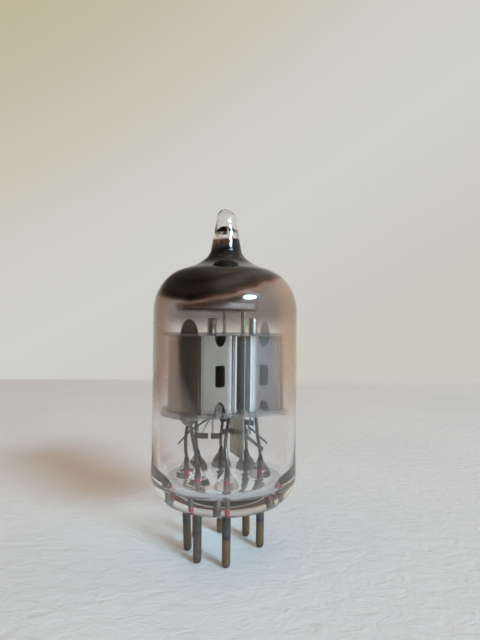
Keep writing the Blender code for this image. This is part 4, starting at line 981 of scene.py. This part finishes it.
def make_getter(stained, dark, bright):
    """The dished shield with a rolled rim, and the channel ring with its strap above it."""
    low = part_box("getter_shield")[0].z
    floor = low + GETTER_SHIELD_SHEET
    rim = low + GETTER_SHIELD_RIM
    outer, inner = GETTER_SHIELD_RADIUS, GETTER_SHIELD_RADIUS - GETTER_SHIELD_SHEET
    lip = GETTER_SHIELD_SHEET / 2.0
    turn = GETTER_SHIELD_TURN
    profile = [(0.0, floor), (inner - turn, floor)]
    profile += ellipse((inner - turn, floor + turn), turn, turn, -QUARTER, 0.0, 6)[1:]
    profile += ellipse((outer - lip, rim - lip), lip, lip, math.pi, 0.0, 6)
    profile += ellipse((outer - turn - GETTER_SHIELD_SHEET, low + turn + GETTER_SHIELD_SHEET),
                       turn + GETTER_SHIELD_SHEET, turn + GETTER_SHIELD_SHEET, 0.0, -QUARTER, 6)
    profile += [(0.0, low)]
    dish = Shape()
    dish.turned(profile, x=GETTER_SHIELD_X)
    piece("getter_shield_dish", dish.mesh("getter_shield"), stained, ("getter_shield",))

    base, top = (corner.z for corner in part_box("getter_ring"))
    out = GETTER_RING_RADIUS + GETTER_RING_WIDTH / 2.0
    into = GETTER_RING_RADIUS - GETTER_RING_WIDTH / 2.0
    wall = GETTER_RING_WALL
    fill = base + wall + GETTER_FILL
    channel = [(out, top), (out, base), (into, base), (into, top), (into + wall, top),
               (into + wall, fill), (GETTER_RING_RADIUS, fill + GETTER_FILL_CROWN), (out - wall, fill),
               (out - wall, top)]
    ring = Shape()
    ring.turned(channel, AROUND_RING, x=GETTER_SHIELD_X, closed=True)
    piece("getter_ring_channel", ring.mesh("getter_ring"), dark, ("getter_ring",))
    dressed("getter_strap", bright, "tab", STRIP_EDGE_ROUND)


# Studio


def make_floor():
    """A pale table top whose paint has a fine, uneven grain."""
    look = new_look("pale_table")
    grain = look.noise(look.stretched(look.place, 0.65), 620.0, detail=6.0, roughness=0.6, distortion=0.7)
    tone = look.ramp(look.noise(look.place, 30.0), [(0.3, (0.67, 0.672, 0.68)), (0.7, (0.72, 0.717, 0.71))])
    far = look.span(look.y, *(FLOOR_BACK + shift for shift in FLOOR_BACK_FADE))
    tone = look.mixed(far, tone, (0.78, 0.77, 0.74))
    shade, mirrored = dark_side(look, look.place)
    shade = look.times(look.times(shade, look.span(look.y, *DARK_DISTANCE)), mirrored)
    look.finish(Base_Color=look.mixed(shade, tone, DARK_TONE), Roughness=0.55, Specular_IOR_Level=0.3,
                Normal=look.bump(grain, 0.0005, 0.5))
    turn = math.tan(WALL_YAW)
    rows = [[Vector((x, y + (x * turn if y > 0 else 0.0), 0.0)) for x in (-FLOOR_REACH, FLOOR_REACH)]
            for y in (-FLOOR_REACH, FLOOR_BACK)]
    shape = Shape()
    shape.grid(rows, closed_across=False)
    floor = bpy.data.objects.new("floor", shape.mesh("floor"))
    if floor.data.polygons[0].normal.z < 0.0:
        floor.data.flip_normals()
    bpy.context.scene.collection.objects.link(floor)
    floor.data.materials.append(look.owner)


def make_room():
    """Pale walls all round; what metal and glass mirror is darker at the front left and overhead."""
    world = bpy.data.worlds.new("room")
    bpy.context.scene.world = world
    look = Look(world, "Generated")
    slope = look.times(look.x, -0.6, look.z)
    wall = look.ramp(look.times(slope, 0.5, 0.5),
                     [(0.415, (0.590, 0.578, 0.521)), (0.60, (0.628, 0.626, 0.600)),
                      (0.70, (0.620, 0.610, 0.560)), (0.845, (0.539, 0.491, 0.352)),
                      (0.95, (0.500, 0.440, 0.290))])
    shade, mirrored = dark_side(look, look.place)
    beside = look.times(look.span(look.y, 0.55, 0.25), look.math("SUBTRACT", 1.0, mirrored))
    wall = look.mixed(beside, wall, (0.620, 0.612, 0.575))
    shade = look.times(shade, look.span(look.z, 0.70, 0.48))
    upper_left = look.times(look.span(look.x, 0.05, -0.45), look.span(look.z, 0.15, 0.40))
    shade = look.math("MAXIMUM", shade, look.times(upper_left, 0.85))
    overhead = look.times(look.span(look.z, 0.40, 0.75), mirrored)
    tone = look.mixed(overhead, wall, (0.50, 0.465, 0.420))
    tone = look.mixed(look.times(shade, mirrored), tone, DARK_TONE)
    tone = look.mixed(look.light("Is Diffuse Ray"), tone, (0.59, 0.43, 0.31))
    look.feed(look.tree.nodes["Background"], Color=tone, Strength=1.0)


def make_window():
    """The bluish light of a window at the front right, aimed at the tube's middle."""
    data = bpy.data.lights.new("window", "AREA")
    data.shape = "ELLIPSE"
    data.size, data.size_y = WINDOW_SIZE
    data.energy = WINDOW_POWER
    data.color = WINDOW_COLOUR
    item = bpy.data.objects.new("window", data)
    bpy.context.scene.collection.objects.link(item)
    way = polar(math.cos(WINDOW_ELEVATION), WINDOW_AZIMUTH, math.sin(WINDOW_ELEVATION))
    item.location = Vector((0.0, 0.0, WINDOW_AIM_Z)) + way * WINDOW_DISTANCE
    item.rotation_euler = way.to_track_quat("Z", "Y").to_euler()


def make_camera():
    """The photograph's own viewpoint, tilted up and rolled a little."""
    data = bpy.data.cameras.new("camera")
    data.lens = CAMERA_LENS
    data.clip_start = 0.001
    item = bpy.data.objects.new("camera", data)
    bpy.context.scene.collection.objects.link(item)
    item.matrix_world = (Matrix.Translation(CAMERA_PLACE)
                         @ Matrix.Rotation(QUARTER + CAMERA_PITCH, 4, "X")
                         @ Matrix.Rotation(CAMERA_ROLL, 4, "Z"))
    bpy.context.scene.camera = item


make_camera()
make_room()
make_floor()
make_window()
bpy.context.scene.view_settings.view_transform = "Standard"

glass = make_glass_material()
film = make_film_material()
nickel = metal_material("nickel_finish", colour=(0.22, 0.195, 0.170), worn=(0.12, 0.105, 0.090),
                        roughness=(0.22, 0.42))
bright_nickel = metal_material("bright_nickel_finish", colour=(0.42, 0.42, 0.345),
                               worn=(0.33, 0.33, 0.270), roughness=(0.20, 0.32), grain=0.1,
                               scale=300.0, dents=0.000002)
sleeve = metal_material("sleeve_finish", colour=(0.70, 0.66, 0.63), worn=(0.42, 0.39, 0.36),
                        roughness=(0.22, 0.40))
getter_metal = metal_material("getter_metal_finish", colour=(0.10, 0.085, 0.075),
                              worn=(0.05, 0.043, 0.04), roughness=(0.3, 0.5), metallic=0.8)
# The anodes' inside colours are painted: shade on the left one, light on the right one
left_anode = make_anode_material("left_anode_finish", colour=(0.39, 0.330, 0.278),
                                 inside=(0.110, 0.090, 0.078), cathode="left_cathode")
right_anode = make_anode_material("right_anode_finish", colour=(0.262, 0.208, 0.200),
                                  inside=(0.95, 0.92, 0.90), cathode="right_cathode")
pin_metal = make_pin_material()
seal_metal = make_seal_material()
mica = make_mica_material()
coating = make_coating_material()

make_glass(glass)
make_film(film)
make_pins(pin_metal)
for index in range(1, PIN_COUNT + 1):
    dressed(f"seal_wire_{index}", seal_metal, "bead_core")
    dressed(f"lead_{index}", nickel, "wire")
for mica_name in ("lower_mica", "upper_mica"):
    dressed(mica_name, mica, "spacer", SHEET_EDGE_ROUND, 30.0)
make_anode("left_anode", -1, left_anode)
make_anode("right_anode", 1, right_anode)
dressed("shield_plate", bright_nickel, "sheet", SHEET_EDGE_ROUND, 30.0)
make_cathode("left_cathode", sleeve)
make_cathode("right_cathode", sleeve)
for heater_name in ("left_heater", "right_heater"):
    dressed(heater_name, coating, "hairpin")
for strip_name in ("left_heater_strap", "heater_link", "right_heater_strap", "left_cathode_ribbon",
                   "right_cathode_ribbon", "shield_strap"):
    dressed(strip_name, nickel, "strip", STRIP_EDGE_ROUND, 30.0)
make_getter(make_dish_material(), getter_metal, nickel)
